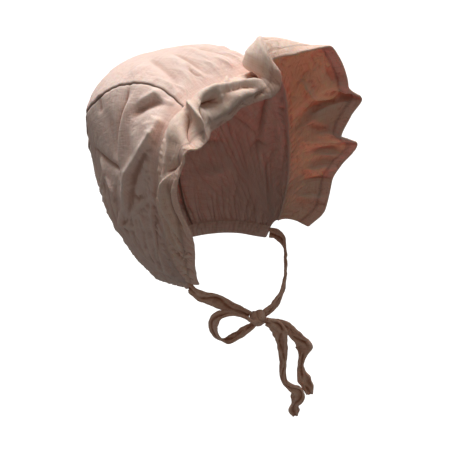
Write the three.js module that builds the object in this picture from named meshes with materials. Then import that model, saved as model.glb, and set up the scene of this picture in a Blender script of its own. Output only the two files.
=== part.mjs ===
// A child's sun bonnet in thin washed linen, standing as a head holds it. The crown is one centre
// panel and two side panels, a wide brim is gathered round the face, a casing runs round the neck,
// and its two ties are knotted with one loop under the chin and hang down in two ends.
// Millimetres, +Z up. The face looks to -Y and the wearer's right is -X.
// The origin is the top of the hollow, where the head bears.
import * as THREE from 'three';

// cloth
const CLOTH = 1.3;
const CASING = 2.4;
const GAP = 0.3;

// the face edge and the neck edge meet at two corners, on one line along X, the fan line
const CORNER = { half: 52, y: -30, z: -147, radius: 5 };
const FACE_ANGLE = 5;
const NECK_ANGLE = 100;

// The crown in flat sections through the fan line, from the face edge over the head to the nape.
// Each leans back from upright by its angle. It is half_width wide on each side at widest above the
// fan line and height tall in the middle, square says how boxy its arch is, and seam is the length
// along it from its middle to the seams of the centre panel.
const CROWN = [
  { angle: 5, half_width: 76, height: 139, widest: 80, square: 3.1, seam: 43 },
  { angle: 12, half_width: 77.5, height: 151, widest: 78, square: 3.0, seam: 43 },
  { angle: 22, half_width: 79, height: 160, widest: 76, square: 2.9, seam: 46 },
  { angle: 38, half_width: 76, height: 167, widest: 70, square: 2.6, seam: 58 },
  { angle: 50, half_width: 71, height: 155, widest: 62, square: 2.1, seam: 57 },
  { angle: 62, half_width: 65, height: 131, widest: 52, square: 1.9, seam: 50 },
  { angle: 74, half_width: 59, height: 111, widest: 42, square: 1.8, seam: 43 },
  { angle: 86, half_width: 54, height: 95, widest: 34, square: 1.9, seam: 37 },
  { angle: 100, half_width: 51, height: 80, widest: 26, square: 1.9, seam: 32 },
];
const CORNER_ROUNDING = 3;

// Folds of the crown's cloth, from one place to another. Across runs from -1 at the right corner,
// over 0 in the middle, to 1 at the left corner. A height below nought is a dent.
const FOLDS = [
  { from_angle: 24, from_across: -0.22, to_angle: 24, to_across: -0.54, height: -4.0, width: 8 },
  { from_angle: 8, from_across: -0.27, to_angle: 34, to_across: -0.70, height: 4.5, width: 8 },
  { from_angle: 12, from_across: -0.36, to_angle: 17, to_across: -0.56, height: -3.5, width: 7 },
  { from_angle: 40, from_across: -0.40, to_angle: 25, to_across: -0.56, height: -3.0, width: 8 },
  { from_angle: 10, from_across: -0.58, to_angle: 24, to_across: -0.86, height: 2.5, width: 6 },
  { from_angle: 44, from_across: -0.68, to_angle: 30, to_across: -0.79, height: 2.5, width: 7 },
  { from_angle: 62, from_across: -0.30, to_angle: 46, to_across: -0.62, height: 3.0, width: 9 },
  { from_angle: 80, from_across: -0.12, to_angle: 56, to_across: -0.20, height: 3.0, width: 8 },
  { from_angle: 84, from_across: 0.16, to_angle: 58, to_across: 0.10, height: 3.0, width: 8 },
  { from_angle: 20, from_across: -0.12, to_angle: 9, to_across: -0.05, height: -3.0, width: 8 },
  { from_angle: 26, from_across: 0.05, to_angle: 9, to_across: 0.10, height: -3.0, width: 8 },
  { from_angle: 22, from_across: 0.24, to_angle: 26, to_across: 0.52, height: -4.0, width: 8 },
  { from_angle: 8, from_across: 0.30, to_angle: 32, to_across: 0.66, height: 4.5, width: 8 },
  { from_angle: 42, from_across: 0.36, to_angle: 26, to_across: 0.60, height: -3.0, width: 8 },
  { from_angle: 12, from_across: 0.60, to_angle: 28, to_across: 0.84, height: 2.5, width: 6 },
  { from_angle: 64, from_across: 0.34, to_angle: 46, to_across: 0.62, height: 3.0, width: 9 },
];
const NECK_PLEATS = { count: 26, height: 1.3, reach: 30 };

// The brim from the right corner over the forehead to the left corner. Each row is one fold: its
// place along the seam in hundredths, then its ridge, about half way out, and its hem, both as
// millimetres forward, outward and sideways (towards the left corner) from the seam.
const BRIM = [
  { along: 0, ridge: [5, 1, 3], hem: [13, 0, 5] },
  { along: 4, ridge: [11, 1, 5], hem: [19, 1, 6] },
  { along: 8, ridge: [15, 1, 8], hem: [25, 2, 7] },
  { along: 12, ridge: [17, 5, 8], hem: [30, 4, 7] },
  { along: 15.5, ridge: [17, 9, 10], hem: [33, 9, 9] },
  { along: 19, ridge: [15, 12, 11], hem: [31, 14, 11] },
  { along: 22.5, ridge: [16, 13, 10], hem: [30, 16, 12] },
  { along: 26, ridge: [20, 12, 5], hem: [33, 16, 10] },
  { along: 29, ridge: [22, 13, 0], hem: [35, 18, 6] },
  { along: 31.5, ridge: [22, 14, -4], hem: [38, 17, -4] },
  { along: 34.5, ridge: [21, 15, -11], hem: [40, 9, -16] },
  { along: 37.5, ridge: [22, 13, -13], hem: [38, 1, -23] },
  { along: 40, ridge: [22, 13, -16], hem: [37, -2, -27] },
  { along: 43, ridge: [20, 12, -18], hem: [34, -3, -31] },
  { along: 46, ridge: [20, 10, -20], hem: [33, -5, -33] },
  { along: 49, ridge: [21, 7, -20], hem: [34, -4, -33] },
  { along: 52, ridge: [23, 5, -19], hem: [35, 0, -31] },
  { along: 55, ridge: [24, 2, -17], hem: [36, -2, -28] },
  { along: 58, ridge: [24, -1, -16], hem: [37, -4, -23] },
  { along: 60, ridge: [20, 3, -20], hem: [37, -2, -22] },
  { along: 62, ridge: [9, 11, -26], hem: [34, 3, -26] },
  { along: 64, ridge: [6, 20, -23], hem: [26, 7, -35] },
  { along: 66.5, ridge: [9, 19, -23], hem: [34, 8, -33] },
  { along: 69.5, ridge: [13, 19, -22], hem: [39, 12, -33] },
  { along: 72.5, ridge: [16, 16, -23], hem: [37, 21, -33] },
  { along: 75, ridge: [20, 10, -23], hem: [40, 20, -32] },
  { along: 77.5, ridge: [23, 9, -20], hem: [45, 16, -27] },
  { along: 80, ridge: [20, 21, -20], hem: [44, 36, -19] },
  { along: 83, ridge: [20, 11, -19], hem: [42, 22, -21] },
  { along: 85.5, ridge: [21, 8, -18], hem: [43, 7, -20] },
  { along: 88, ridge: [20, 14, -15], hem: [42, 31, -18] },
  { along: 92, ridge: [15, 13, -18], hem: [33, 22, -20] },
  { along: 95, ridge: [13, 9, -18], hem: [28, 18, -21] },
  { along: 98, ridge: [10, 6, -12], hem: [25, 13, -14] },
  { along: 100, ridge: [7, 3, -4], hem: [18, 8, -6] },
];
const BRIM_GATHERS = { count: 22, height: 1.4 };

// the casing at the neck hangs on below the neck edge, drawn in towards the neck
const BAND = { width: 9, draw_in: 0.5, neck_y: -8 };

// the ties, as places of their middle line with the tape's width and thickness there
const KNOT = { x: -22, y: -68, z: -177, half_x: 7.5, half_y: 6.5, half_z: 7 };
const KNOT_GROOVES = { count: 3, depth: 0.05 };
const TIE_RIGHT = [
  { x: -50.3, y: -25.5, z: -152.3, width: 8.6, thick: 2.2 },
  { x: -52.2, y: -32, z: -152.6, width: 9, thick: 2.2 },
  { x: -51.5, y: -38, z: -154, width: 9.5, thick: 2.0 },
  { x: -45, y: -44, z: -158, width: 10, thick: 1.8 },
  { x: -38.5, y: -50.5, z: -163.5, width: 9.5, thick: 1.8 },
  { x: -32.5, y: -57, z: -168.5, width: 8, thick: 2.2 },
  { x: -26.4, y: -63.5, z: -173.6, width: 6, thick: 3 },
];
const TIE_LEFT = [
  { x: 50.3, y: -25.5, z: -152.3, width: 8.6, thick: 2.2 },
  { x: 52.2, y: -32, z: -152.6, width: 9, thick: 2.2 },
  { x: 50, y: -40, z: -156, width: 9.5, thick: 2.0 },
  { x: 40, y: -49, z: -163, width: 10, thick: 1.8 },
  { x: 27, y: -58, z: -170, width: 10, thick: 1.8 },
  { x: 12, y: -65, z: -175, width: 9.5, thick: 1.8 },
  { x: -2, y: -68, z: -177, width: 8, thick: 2.2 },
  { x: -14.5, y: -68, z: -177.2, width: 6, thick: 3 },
];
const LOOP = [
  { x: -30.7, y: -69.6, z: -174.4, width: 4, thick: 2.2 },
  { x: -34.5, y: -64.6, z: -170.4, width: 6, thick: 1.8 },
  { x: -40.7, y: -58, z: -166.8, width: 6.5, thick: 1.6 },
  { x: -46, y: -51.2, z: -167.8, width: 7.5, thick: 1.6 },
  { x: -48, y: -47, z: -174.4, width: 9, thick: 1.6 },
  { x: -47.4, y: -45.4, z: -182.5, width: 9, thick: 1.6 },
  { x: -45, y: -47.2, z: -190.3, width: 8.5, thick: 1.6 },
  { x: -41, y: -52.5, z: -193.8, width: 8, thick: 1.6 },
  { x: -36.2, y: -58.6, z: -189.5, width: 8, thick: 1.6 },
  { x: -32, y: -64.4, z: -184, width: 7, thick: 1.8 },
  { x: -30.5, y: -69.4, z: -181.4, width: 4, thick: 2.2 },
];
const END_FRONT = [
  { x: -20.6, y: -75.4, z: -178.2, width: 6, thick: 3 },
  { x: -17.5, y: -79.5, z: -180.5, width: 9, thick: 2.6 },
  { x: -14.8, y: -82.6, z: -186, width: 10, thick: 2.4 },
  { x: -13.6, y: -84.4, z: -195, width: 9, thick: 2.4 },
  { x: -13, y: -85.5, z: -205, width: 7.5, thick: 2.6 },
  { x: -13, y: -86, z: -216, width: 6.5, thick: 2.8 },
  { x: -13, y: -86, z: -226, width: 6, thick: 3 },
  { x: -11.8, y: -87.4, z: -234.6, width: 6, thick: 3.2 },
  { x: -8.6, y: -91, z: -240.4, width: 6.5, thick: 3.6 },
  { x: -5.6, y: -94.6, z: -244.6, width: 8.5, thick: 4.4 },
  { x: -5.2, y: -95.6, z: -251, width: 10.5, thick: 5 },
  { x: -6.4, y: -94.2, z: -258, width: 8, thick: 5 },
  { x: -6.8, y: -93.8, z: -263, width: 9, thick: 4 },
  { x: -6.2, y: -94.6, z: -269, width: 4, thick: 2.4 },
];
const END_BACK = [
  { x: -15.6, y: -69.4, z: -181.9, width: 5, thick: 3 },
  { x: -9.5, y: -75.4, z: -185.4, width: 8, thick: 2.4 },
  { x: -4.5, y: -81, z: -188.6, width: 9, thick: 2.2 },
  { x: -0.8, y: -86.4, z: -195, width: 9, thick: 2.2 },
  { x: 2.8, y: -90.6, z: -202, width: 9, thick: 2.4 },
  { x: 4.6, y: -93, z: -208, width: 10, thick: 2.8 },
  { x: 4, y: -92.6, z: -216, width: 8, thick: 3 },
  { x: 3.2, y: -91.6, z: -224, width: 6, thick: 3 },
  { x: 3.8, y: -92, z: -232, width: 6.5, thick: 3.4 },
  { x: 5.2, y: -94, z: -239.6, width: 8, thick: 4 },
  { x: 7, y: -96.6, z: -247, width: 7.5, thick: 4.4 },
  { x: 8, y: -98, z: -254, width: 5.5, thick: 3.4 },
];
// the tape lies across this way: upright under the jaw, and broad side to the front on its ends
const TIE_ACROSS = new THREE.Vector3(0, 0, 1);
const LOOP_ACROSS = new THREE.Vector3(-0.1, -0.98, 0.15);
const END_ACROSS = new THREE.Vector3(0.62, -0.79, 0);

// how finely the cloth is divided
const STEPS = { angle: 24, side: 13, centre: 9, brim_along: 92, brim_out: 6, band: 44, band_drop: 2 };
const SECTION_POINTS = 120;
const TAPE_SIDES = 8;
const STEPS_PER_TAPE_ROW = 2;
const KNOT_STEPS = { rings: 9, around: 14 };

const LINEN = { side: 0xcfb3a6, centre: 0xdcc3b6, brim: 0xd9bcae, trim: 0xc2a293, tie: 0xb08c7c };
const CLOTH_ROUGHNESS = 0.9;

// A smooth curve through one named column of a table, without overshoot between its rows.
function through(rows, at, value) {
  const x = rows.map((row) => row[at]);
  const y = rows.map(value);
  const slope = x.slice(1).map((end, i) => (y[i + 1] - y[i]) / (end - x[i]));
  const lean = x.map((_, i) => {
    if (i === 0) return slope[0];
    if (i === x.length - 1) return slope[i - 1];
    if (slope[i - 1] * slope[i] <= 0) return 0;
    return (2 * slope[i - 1] * slope[i]) / (slope[i - 1] + slope[i]);
  });
  return (place) => {
    let i = 0;
    while (i < x.length - 2 && place > x[i + 1]) i += 1;
    const span = x[i + 1] - x[i];
    const t = THREE.MathUtils.clamp((place - x[i]) / span, 0, 1);
    const t2 = t * t;
    const t3 = t2 * t;
    return (2 * t3 - 3 * t2 + 1) * y[i] + (t3 - 2 * t2 + t) * span * lean[i]
      + (3 * t2 - 2 * t3) * y[i + 1] + (t3 - t2) * span * lean[i + 1];
  };
}

const halfWidthAt = through(CROWN, 'angle', (row) => row.half_width);
const heightAt = through(CROWN, 'angle', (row) => row.height);
const widestAt = through(CROWN, 'angle', (row) => row.widest);
const squareAt = through(CROWN, 'angle', (row) => row.square);
const seamAt = through(CROWN, 'angle', (row) => row.seam);

// the direction of a section's middle, seen from the fan line
function rise(angle) {
  const lean = THREE.MathUtils.degToRad(angle);
  return new THREE.Vector3(0, Math.sin(lean), Math.cos(lean));
}

// the way the sections turn at an angle, square to the section
function turn(angle) {
  const lean = THREE.MathUtils.degToRad(angle);
  return new THREE.Vector3(0, Math.cos(lean), -Math.sin(lean));
}

const sections = new Map();

// One section as points from the right corner to the left, with the length run up to each.
function section(angle) {
  const key = angle.toFixed(4);
  if (sections.has(key)) return sections.get(key);
  const half = halfWidthAt(angle);
  const height = heightAt(angle);
  const widest = widestAt(angle);
  const power = 2 / squareAt(angle);
  const up = rise(angle);
  const side = [];
  const place = (x, reach) => side.push({ x, reach });
  for (let i = 0; i < SECTION_POINTS / 3; i += 1) {
    const reach = THREE.MathUtils.lerp(CORNER.radius, widest, (3 * i) / SECTION_POINTS);
    place(half - (half - CORNER.half) * (1 - reach / widest) ** CORNER_ROUNDING, reach);
  }
  for (let i = 0; i <= SECTION_POINTS; i += 1) {
    const t = (Math.PI / 2) * (i / SECTION_POINTS);
    place(half * Math.max(Math.cos(t), 0) ** power, widest + (height - widest) * Math.sin(t) ** power);
  }
  const at = (x, reach) => new THREE.Vector3(x, CORNER.y, CORNER.z).addScaledVector(up, reach);
  const points = side.map((p) => at(-p.x, p.reach));
  points.push(...side.slice(0, -1).reverse().map((p) => at(p.x, p.reach)));
  const run = [0];
  for (let i = 1; i < points.length; i += 1) run.push(run[i - 1] + points[i].distanceTo(points[i - 1]));
  const made = { points, run, length: run[run.length - 1] };
  sections.set(key, made);
  return made;
}

// the bare crown at an angle and at -1 to 1 across
function bareCrown(angle, across) {
  const { points, run, length } = section(angle);
  const wanted = THREE.MathUtils.clamp((across + 1) / 2, 0, 1) * length;
  let i = 1;
  while (i < run.length - 1 && run[i] < wanted) i += 1;
  const t = (wanted - run[i - 1]) / (run[i] - run[i - 1]);
  return points[i - 1].clone().lerp(points[i], t);
}

function bareCrownNormal(angle, across) {
  const step = 0.5;
  const ahead = bareCrown(Math.min(angle + step, NECK_ANGLE), across);
  const behind = bareCrown(Math.max(angle - step, FACE_ANGLE), across);
  const left = bareCrown(angle, Math.min(across + 0.01, 1));
  const right = bareCrown(angle, Math.max(across - 0.01, -1));
  return left.sub(right).cross(ahead.sub(behind)).negate().normalize();
}

const foldLines = FOLDS.map((fold) => {
  const start = bareCrown(fold.from_angle, fold.from_across);
  return { ...fold, start, line: bareCrown(fold.to_angle, fold.to_across).sub(start) };
});

// from 0 on the open cloth to 1 at the neck edge, where the pleats are drawn up
function nearNeck(angle) {
  return THREE.MathUtils.smoothstep(angle, NECK_ANGLE - NECK_PLEATS.reach, NECK_ANGLE);
}

// how far the folds and the neck's pleats lift the cloth at a place
function foldHeight(point, angle, across) {
  let height = 0;
  for (const fold of foldLines) {
    const { start, line } = fold;
    const offset = point.clone().sub(start);
    const along = THREE.MathUtils.clamp(offset.dot(line) / line.lengthSq(), 0, 1);
    const away = offset.addScaledVector(line, -along).length() / fold.width;
    height += fold.height * Math.exp(-away * away);
  }
  const toFace = THREE.MathUtils.smoothstep(angle, FACE_ANGLE, FACE_ANGLE + 5);
  const toCorner = THREE.MathUtils.smoothstep(1 - Math.abs(across), 0, 0.12);
  const toNeck = nearNeck(angle);
  const pleat = NECK_PLEATS.height * Math.cos(Math.PI * NECK_PLEATS.count * across);
  return (height * (1 - toNeck) * toFace + pleat * toNeck) * toCorner;
}

function crown(angle, across) {
  const point = bareCrown(angle, across);
  const lift = bareCrownNormal(angle, across);
  const down = turn(NECK_ANGLE);
  lift.addScaledVector(down, -lift.dot(down) * nearNeck(angle));
  return point.addScaledVector(lift, foldHeight(point, angle, across));
}

function crownNormal(angle, across) {
  const ahead = crown(Math.min(angle + 1, NECK_ANGLE), across);
  const behind = crown(Math.max(angle - 1, FACE_ANGLE), across);
  const left = crown(angle, Math.min(across + 0.02, 1));
  const right = crown(angle, Math.max(across - 0.02, -1));
  return ahead.sub(behind).cross(left.sub(right)).normalize();
}

// A closed wall of one thickness about a grid of points, along its normals where they are given.
// The edges named in flush stay square to the direction given for them, so that pieces meet there.
function wall(grid, thickness, flush = {}, normals = null) {
  const rows = grid.length;
  const columns = grid[0].length;
  const outer = [];
  const inner = [];
  for (let i = 0; i < rows; i += 1) {
    for (let j = 0; j < columns; j += 1) {
      const down = grid[Math.min(i + 1, rows - 1)][j].clone().sub(grid[Math.max(i - 1, 0)][j]);
      const over = grid[i][Math.min(j + 1, columns - 1)].clone().sub(grid[i][Math.max(j - 1, 0)]);
      const normal = normals ? normals[i][j].clone() : down.cross(over).normalize();
      const edges = [];
      if (i === 0) edges.push(flush.first_row);
      if (i === rows - 1) edges.push(flush.last_row);
      if (j === 0) edges.push(flush.first_column);
      for (const edge of edges.filter(Boolean)) {
        normal.addScaledVector(edge, -normal.dot(edge)).normalize();
      }
      outer.push(grid[i][j].clone().addScaledVector(normal, thickness / 2));
      inner.push(grid[i][j].clone().addScaledVector(normal, -thickness / 2));
    }
  }
  const corner = (i, j) => i * columns + j;
  const depth = outer.length;
  const faces = [];
  const quad = (a, b, c, d) => faces.push(a, b, c, a, c, d);
  for (let i = 0; i < rows - 1; i += 1) {
    for (let j = 0; j < columns - 1; j += 1) {
      const [a, b, c, d] = [corner(i, j), corner(i + 1, j), corner(i + 1, j + 1), corner(i, j + 1)];
      quad(a, b, c, d);
      quad(depth + d, depth + c, depth + b, depth + a);
    }
  }
  const rim = [];
  for (let i = 0; i < rows - 1; i += 1) rim.push(corner(i, 0));
  for (let j = 0; j < columns - 1; j += 1) rim.push(corner(rows - 1, j));
  for (let i = rows - 1; i > 0; i -= 1) rim.push(corner(i, columns - 1));
  for (let j = columns - 1; j > 0; j -= 1) rim.push(corner(0, j));
  rim.forEach((a, k) => {
    const b = rim[(k + 1) % rim.length];
    quad(b, a, depth + a, depth + b);
  });
  return closed([...outer, ...inner], faces);
}

// A closed body of points and triangles, turned so that its faces point out.
function closed(points, faces) {
  let volume = 0;
  for (let i = 0; i < faces.length; i += 3) {
    const [a, b, c] = [points[faces[i]], points[faces[i + 1]], points[faces[i + 2]]];
    volume += a.dot(b.clone().cross(c));
  }
  const index = volume < 0 ? [...faces].reverse() : faces;
  const places = points.flatMap((p) => p.toArray());
  const geometry = new THREE.BufferGeometry();
  geometry.setAttribute('position', new THREE.Float32BufferAttribute(places, 3));
  geometry.setIndex(index);
  geometry.computeVertexNormals();
  return geometry;
}

// The places from one value to another in equal steps.
function steps(from, to, count) {
  return Array.from({ length: count + 1 }, (_, i) => THREE.MathUtils.lerp(from, to, i / count));
}

// One panel of the crown, between two edges given across each section.
function crownPanel(fromAcross, toAcross, count) {
  const over = (shape) => steps(FACE_ANGLE, NECK_ANGLE, STEPS.angle).map((angle) => (
    steps(fromAcross(angle), toAcross(angle), count).map((across) => shape(angle, across))
  ));
  const flush = { first_row: turn(FACE_ANGLE), last_row: turn(NECK_ANGLE) };
  return wall(over(crown), CLOTH, flush, over(crownNormal));
}

function seamAcross(angle, setBack) {
  return (2 * (seamAt(angle) + setBack)) / section(angle).length;
}

// The brim's own directions at a place along its seam: forward, outward and sideways.
function brimFrame(along) {
  const forward = turn(FACE_ANGLE).negate();
  const across = 2 * along - 1;
  const before = bareCrown(FACE_ANGLE, Math.max(across - 0.02, -1));
  const sideways = bareCrown(FACE_ANGLE, Math.min(across + 0.02, 1)).sub(before).normalize();
  const outward = forward.clone().cross(sideways).normalize();
  return [forward, outward, sideways];
}

const brimRidge = [0, 1, 2].map((k) => through(BRIM, 'along', (row) => row.ridge[k]));
const brimHem = [0, 1, 2].map((k) => through(BRIM, 'along', (row) => row.hem[k]));

// The brim bends from its seam over its ridge to its hem, in a parabola through all three.
function brim(along, out) {
  const axes = brimFrame(along);
  const percent = 100 * along;
  const point = bareCrown(FACE_ANGLE, 2 * along - 1).addScaledVector(axes[0], GAP);
  const toRidge = 4 * out * (1 - out);
  const toHem = out * (2 * out - 1);
  axes.forEach((axis, k) => {
    point.addScaledVector(axis, toRidge * brimRidge[k](percent) + toHem * brimHem[k](percent));
  });
  const gather = BRIM_GATHERS.height * Math.sin(2 * Math.PI * BRIM_GATHERS.count * along);
  return point.addScaledVector(axes[1], gather * 4 * out * (1 - out) ** 2);
}

function brimWall() {
  const grid = steps(0, 1, STEPS.brim_along).map((along) => (
    steps(0, 1, STEPS.brim_out).map((out) => brim(along, out))
  ));
  return wall(grid, CLOTH, { first_column: turn(FACE_ANGLE) });
}

function neckBand() {
  const down = turn(NECK_ANGLE);
  const grid = steps(-1, 1, STEPS.band).map((across) => {
    const top = bareCrown(NECK_ANGLE, across).addScaledVector(down, GAP);
    const inward = new THREE.Vector3(-top.x, BAND.neck_y - top.y, 0).normalize();
    const hang = new THREE.Vector3(0, 0, -1).addScaledVector(inward, BAND.draw_in).normalize();
    return steps(0, BAND.width, STEPS.band_drop).map((drop) => top.clone().addScaledVector(hang, drop));
  });
  return wall(grid, CASING, { first_column: down });
}

// A soft tape along a table of places, with an eight-sided section that stays across one way.
function tape(rows, across) {
  const path = new THREE.CatmullRomCurve3(rows.map((row) => new THREE.Vector3(row.x, row.y, row.z)));
  const numbered = rows.map((row, i) => ({ ...row, i }));
  const widthAt = through(numbered, 'i', (row) => row.width);
  const thickAt = through(numbered, 'i', (row) => row.thick);
  const count = (rows.length - 1) * STEPS_PER_TAPE_ROW;
  const points = [];
  for (const step of steps(0, rows.length - 1, count)) {
    const middle = path.getPoint(step / (rows.length - 1));
    const tangent = path.getTangent(step / (rows.length - 1));
    const side = across.clone().addScaledVector(tangent, -across.dot(tangent)).normalize();
    const face = tangent.clone().cross(side);
    for (let k = 0; k < TAPE_SIDES; k += 1) {
      const turned = ((k + 0.5) / TAPE_SIDES) * 2 * Math.PI;
      const point = middle.clone().addScaledVector(side, (Math.cos(turned) * widthAt(step)) / 2);
      points.push(point.addScaledVector(face, (Math.sin(turned) * thickAt(step)) / 2));
    }
  }
  const faces = [];
  const at = (ring, k) => ring * TAPE_SIDES + (k % TAPE_SIDES);
  for (let ring = 0; ring < count; ring += 1) {
    for (let k = 0; k < TAPE_SIDES; k += 1) {
      faces.push(at(ring, k), at(ring, k + 1), at(ring + 1, k + 1));
      faces.push(at(ring, k), at(ring + 1, k + 1), at(ring + 1, k));
    }
  }
  for (let k = 1; k < TAPE_SIDES - 1; k += 1) {
    faces.push(at(0, 0), at(0, k + 1), at(0, k), at(count, 0), at(count, k), at(count, k + 1));
  }
  return closed(points, faces);
}

// The knot is a squeezed ball with soft grooves where the tape wraps it.
function knot() {
  const { rings, around } = KNOT_STEPS;
  const points = [new THREE.Vector3(0, 0, 1)];
  for (let ring = 1; ring < rings; ring += 1) {
    const fall = (Math.PI * ring) / rings;
    for (let k = 0; k < around; k += 1) {
      const turned = (2 * Math.PI * k) / around;
      const out = Math.sin(fall);
      points.push(new THREE.Vector3(out * Math.cos(turned), out * Math.sin(turned), Math.cos(fall)));
    }
  }
  points.push(new THREE.Vector3(0, 0, -1));
  const bottom = points.length - 1;
  const at = (ring, k) => 1 + (ring - 1) * around + (k % around);
  const faces = [];
  for (let k = 0; k < around; k += 1) {
    faces.push(0, at(1, k), at(1, k + 1));
    faces.push(bottom, at(rings - 1, k + 1), at(rings - 1, k));
    for (let ring = 1; ring < rings - 1; ring += 1) {
      faces.push(at(ring, k), at(ring + 1, k), at(ring + 1, k + 1));
      faces.push(at(ring, k), at(ring + 1, k + 1), at(ring, k + 1));
    }
  }
  const shaped = points.map((p) => {
    const wrap = Math.cos(KNOT_GROOVES.count * Math.atan2(p.z, p.x)) * (1 - p.y * p.y);
    const size = new THREE.Vector3(KNOT.half_x, KNOT.half_y, KNOT.half_z);
    return p.clone().multiply(size).multiplyScalar(1 - KNOT_GROOVES.depth * wrap);
  });
  return closed(shaped, faces);
}

const bonnet = new THREE.Group();

function add(name, geometry, color) {
  const cloth = new THREE.MeshStandardMaterial({ color, roughness: CLOTH_ROUGHNESS, metalness: 0 });
  const mesh = new THREE.Mesh(geometry, cloth);
  mesh.name = name;
  bonnet.add(mesh);
  return mesh;
}

const centreEdge = (angle) => seamAcross(angle, -GAP / 2);
const sideEdge = (angle) => seamAcross(angle, GAP / 2);
add('crown_panel', crownPanel((angle) => -centreEdge(angle), centreEdge, STEPS.centre), LINEN.centre);
add('side_panel_right', crownPanel(() => -1, (angle) => -sideEdge(angle), STEPS.side), LINEN.side);
add('side_panel_left', crownPanel(sideEdge, () => 1, STEPS.side), LINEN.side);
add('brim', brimWall(), LINEN.brim);
add('neck_band', neckBand(), LINEN.trim);
add('tie_right', tape(TIE_RIGHT, TIE_ACROSS), LINEN.tie);
add('tie_left', tape(TIE_LEFT, TIE_ACROSS), LINEN.tie);
add('bow_loop', tape(LOOP, LOOP_ACROSS), LINEN.tie);
add('tie_end_front', tape(END_FRONT, END_ACROSS), LINEN.tie);
add('tie_end_back', tape(END_BACK, END_ACROSS), LINEN.tie);
add('bow_knot', knot(), LINEN.tie).position.set(KNOT.x, KNOT.y, KNOT.z);

export default bonnet;
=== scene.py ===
"""A child's sun bonnet in thin washed linen, held as a head holds it.

The crown is a centre panel between two side panels. A wide brim is gathered round the face, a
casing runs round the neck, and its two ties are knotted with one loop under the chin.

Lengths are millimetres and angles are degrees. MM turns them into metres where an object is made.
The face looks to -Y and the wearer's right is -X.
"""
import logging
import math
from dataclasses import dataclass, field
from enum import Enum
from typing import NamedTuple

import bpy
import numpy as np
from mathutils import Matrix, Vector


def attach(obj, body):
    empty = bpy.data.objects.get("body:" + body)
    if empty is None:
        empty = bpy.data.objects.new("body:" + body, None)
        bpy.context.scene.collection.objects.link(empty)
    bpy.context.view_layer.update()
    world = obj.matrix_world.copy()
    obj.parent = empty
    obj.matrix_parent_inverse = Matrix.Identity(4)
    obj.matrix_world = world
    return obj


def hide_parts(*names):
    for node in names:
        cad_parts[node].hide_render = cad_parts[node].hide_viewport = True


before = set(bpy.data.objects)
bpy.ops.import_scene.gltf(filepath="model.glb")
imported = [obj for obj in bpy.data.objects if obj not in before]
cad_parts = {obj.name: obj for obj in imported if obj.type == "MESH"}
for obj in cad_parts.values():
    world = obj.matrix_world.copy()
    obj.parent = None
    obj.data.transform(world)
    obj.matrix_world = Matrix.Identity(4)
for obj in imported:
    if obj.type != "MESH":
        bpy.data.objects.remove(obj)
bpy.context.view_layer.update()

MM = 0.001
ROOT = "root"
log = logging.getLogger("bonnet")

Array = np.ndarray
Place = tuple[float, float]
Colour = tuple[float, float, float]
WHITE = (1.0, 1.0, 1.0)


class FoldKind(Enum):
    """How the cross-section of a fold runs."""

    SOFT = "a rounded swell"
    RIDGE = "a pinched crest with a soft foot"


class CrownRow(NamedTuple):
    """One flat section of the crown, leaning back by its angle from the corners' line."""

    angle: float
    half_width: float
    height: float
    widest: float
    square: float
    seam: float


class Fold(NamedTuple):
    """One fold along a few places, each the (angle, across) or (along, out) of its cloth."""

    places: tuple[Place, ...]
    height: float
    width: float
    kind: FoldKind = FoldKind.SOFT


class BrimRow(NamedTuple):
    """One fold of the brim: its ridge and its hem, forward, outward and sideways of the seam."""

    along: float
    ridge: tuple[float, float, float]
    hem: tuple[float, float, float]


class TapeRow(NamedTuple):
    """One place on a tape's middle line, with the tape's width and thickness there."""

    x: float
    y: float
    z: float
    width: float
    thick: float


RIDGE = FoldKind.RIDGE

CROWN_ROWS = (
    CrownRow(5, 76, 139, 80, 3.1, 43),
    CrownRow(12, 77.5, 151, 78, 3.0, 43),
    CrownRow(22, 79, 160, 76, 2.9, 46),
    CrownRow(38, 76, 167, 70, 2.6, 58),
    CrownRow(50, 71, 155, 62, 2.1, 57),
    CrownRow(62, 65, 131, 52, 1.9, 50),
    CrownRow(74, 59, 111, 42, 1.8, 43),
    CrownRow(86, 54, 95, 34, 1.9, 37),
    CrownRow(100, 51, 80, 26, 1.9, 32),
)

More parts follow.
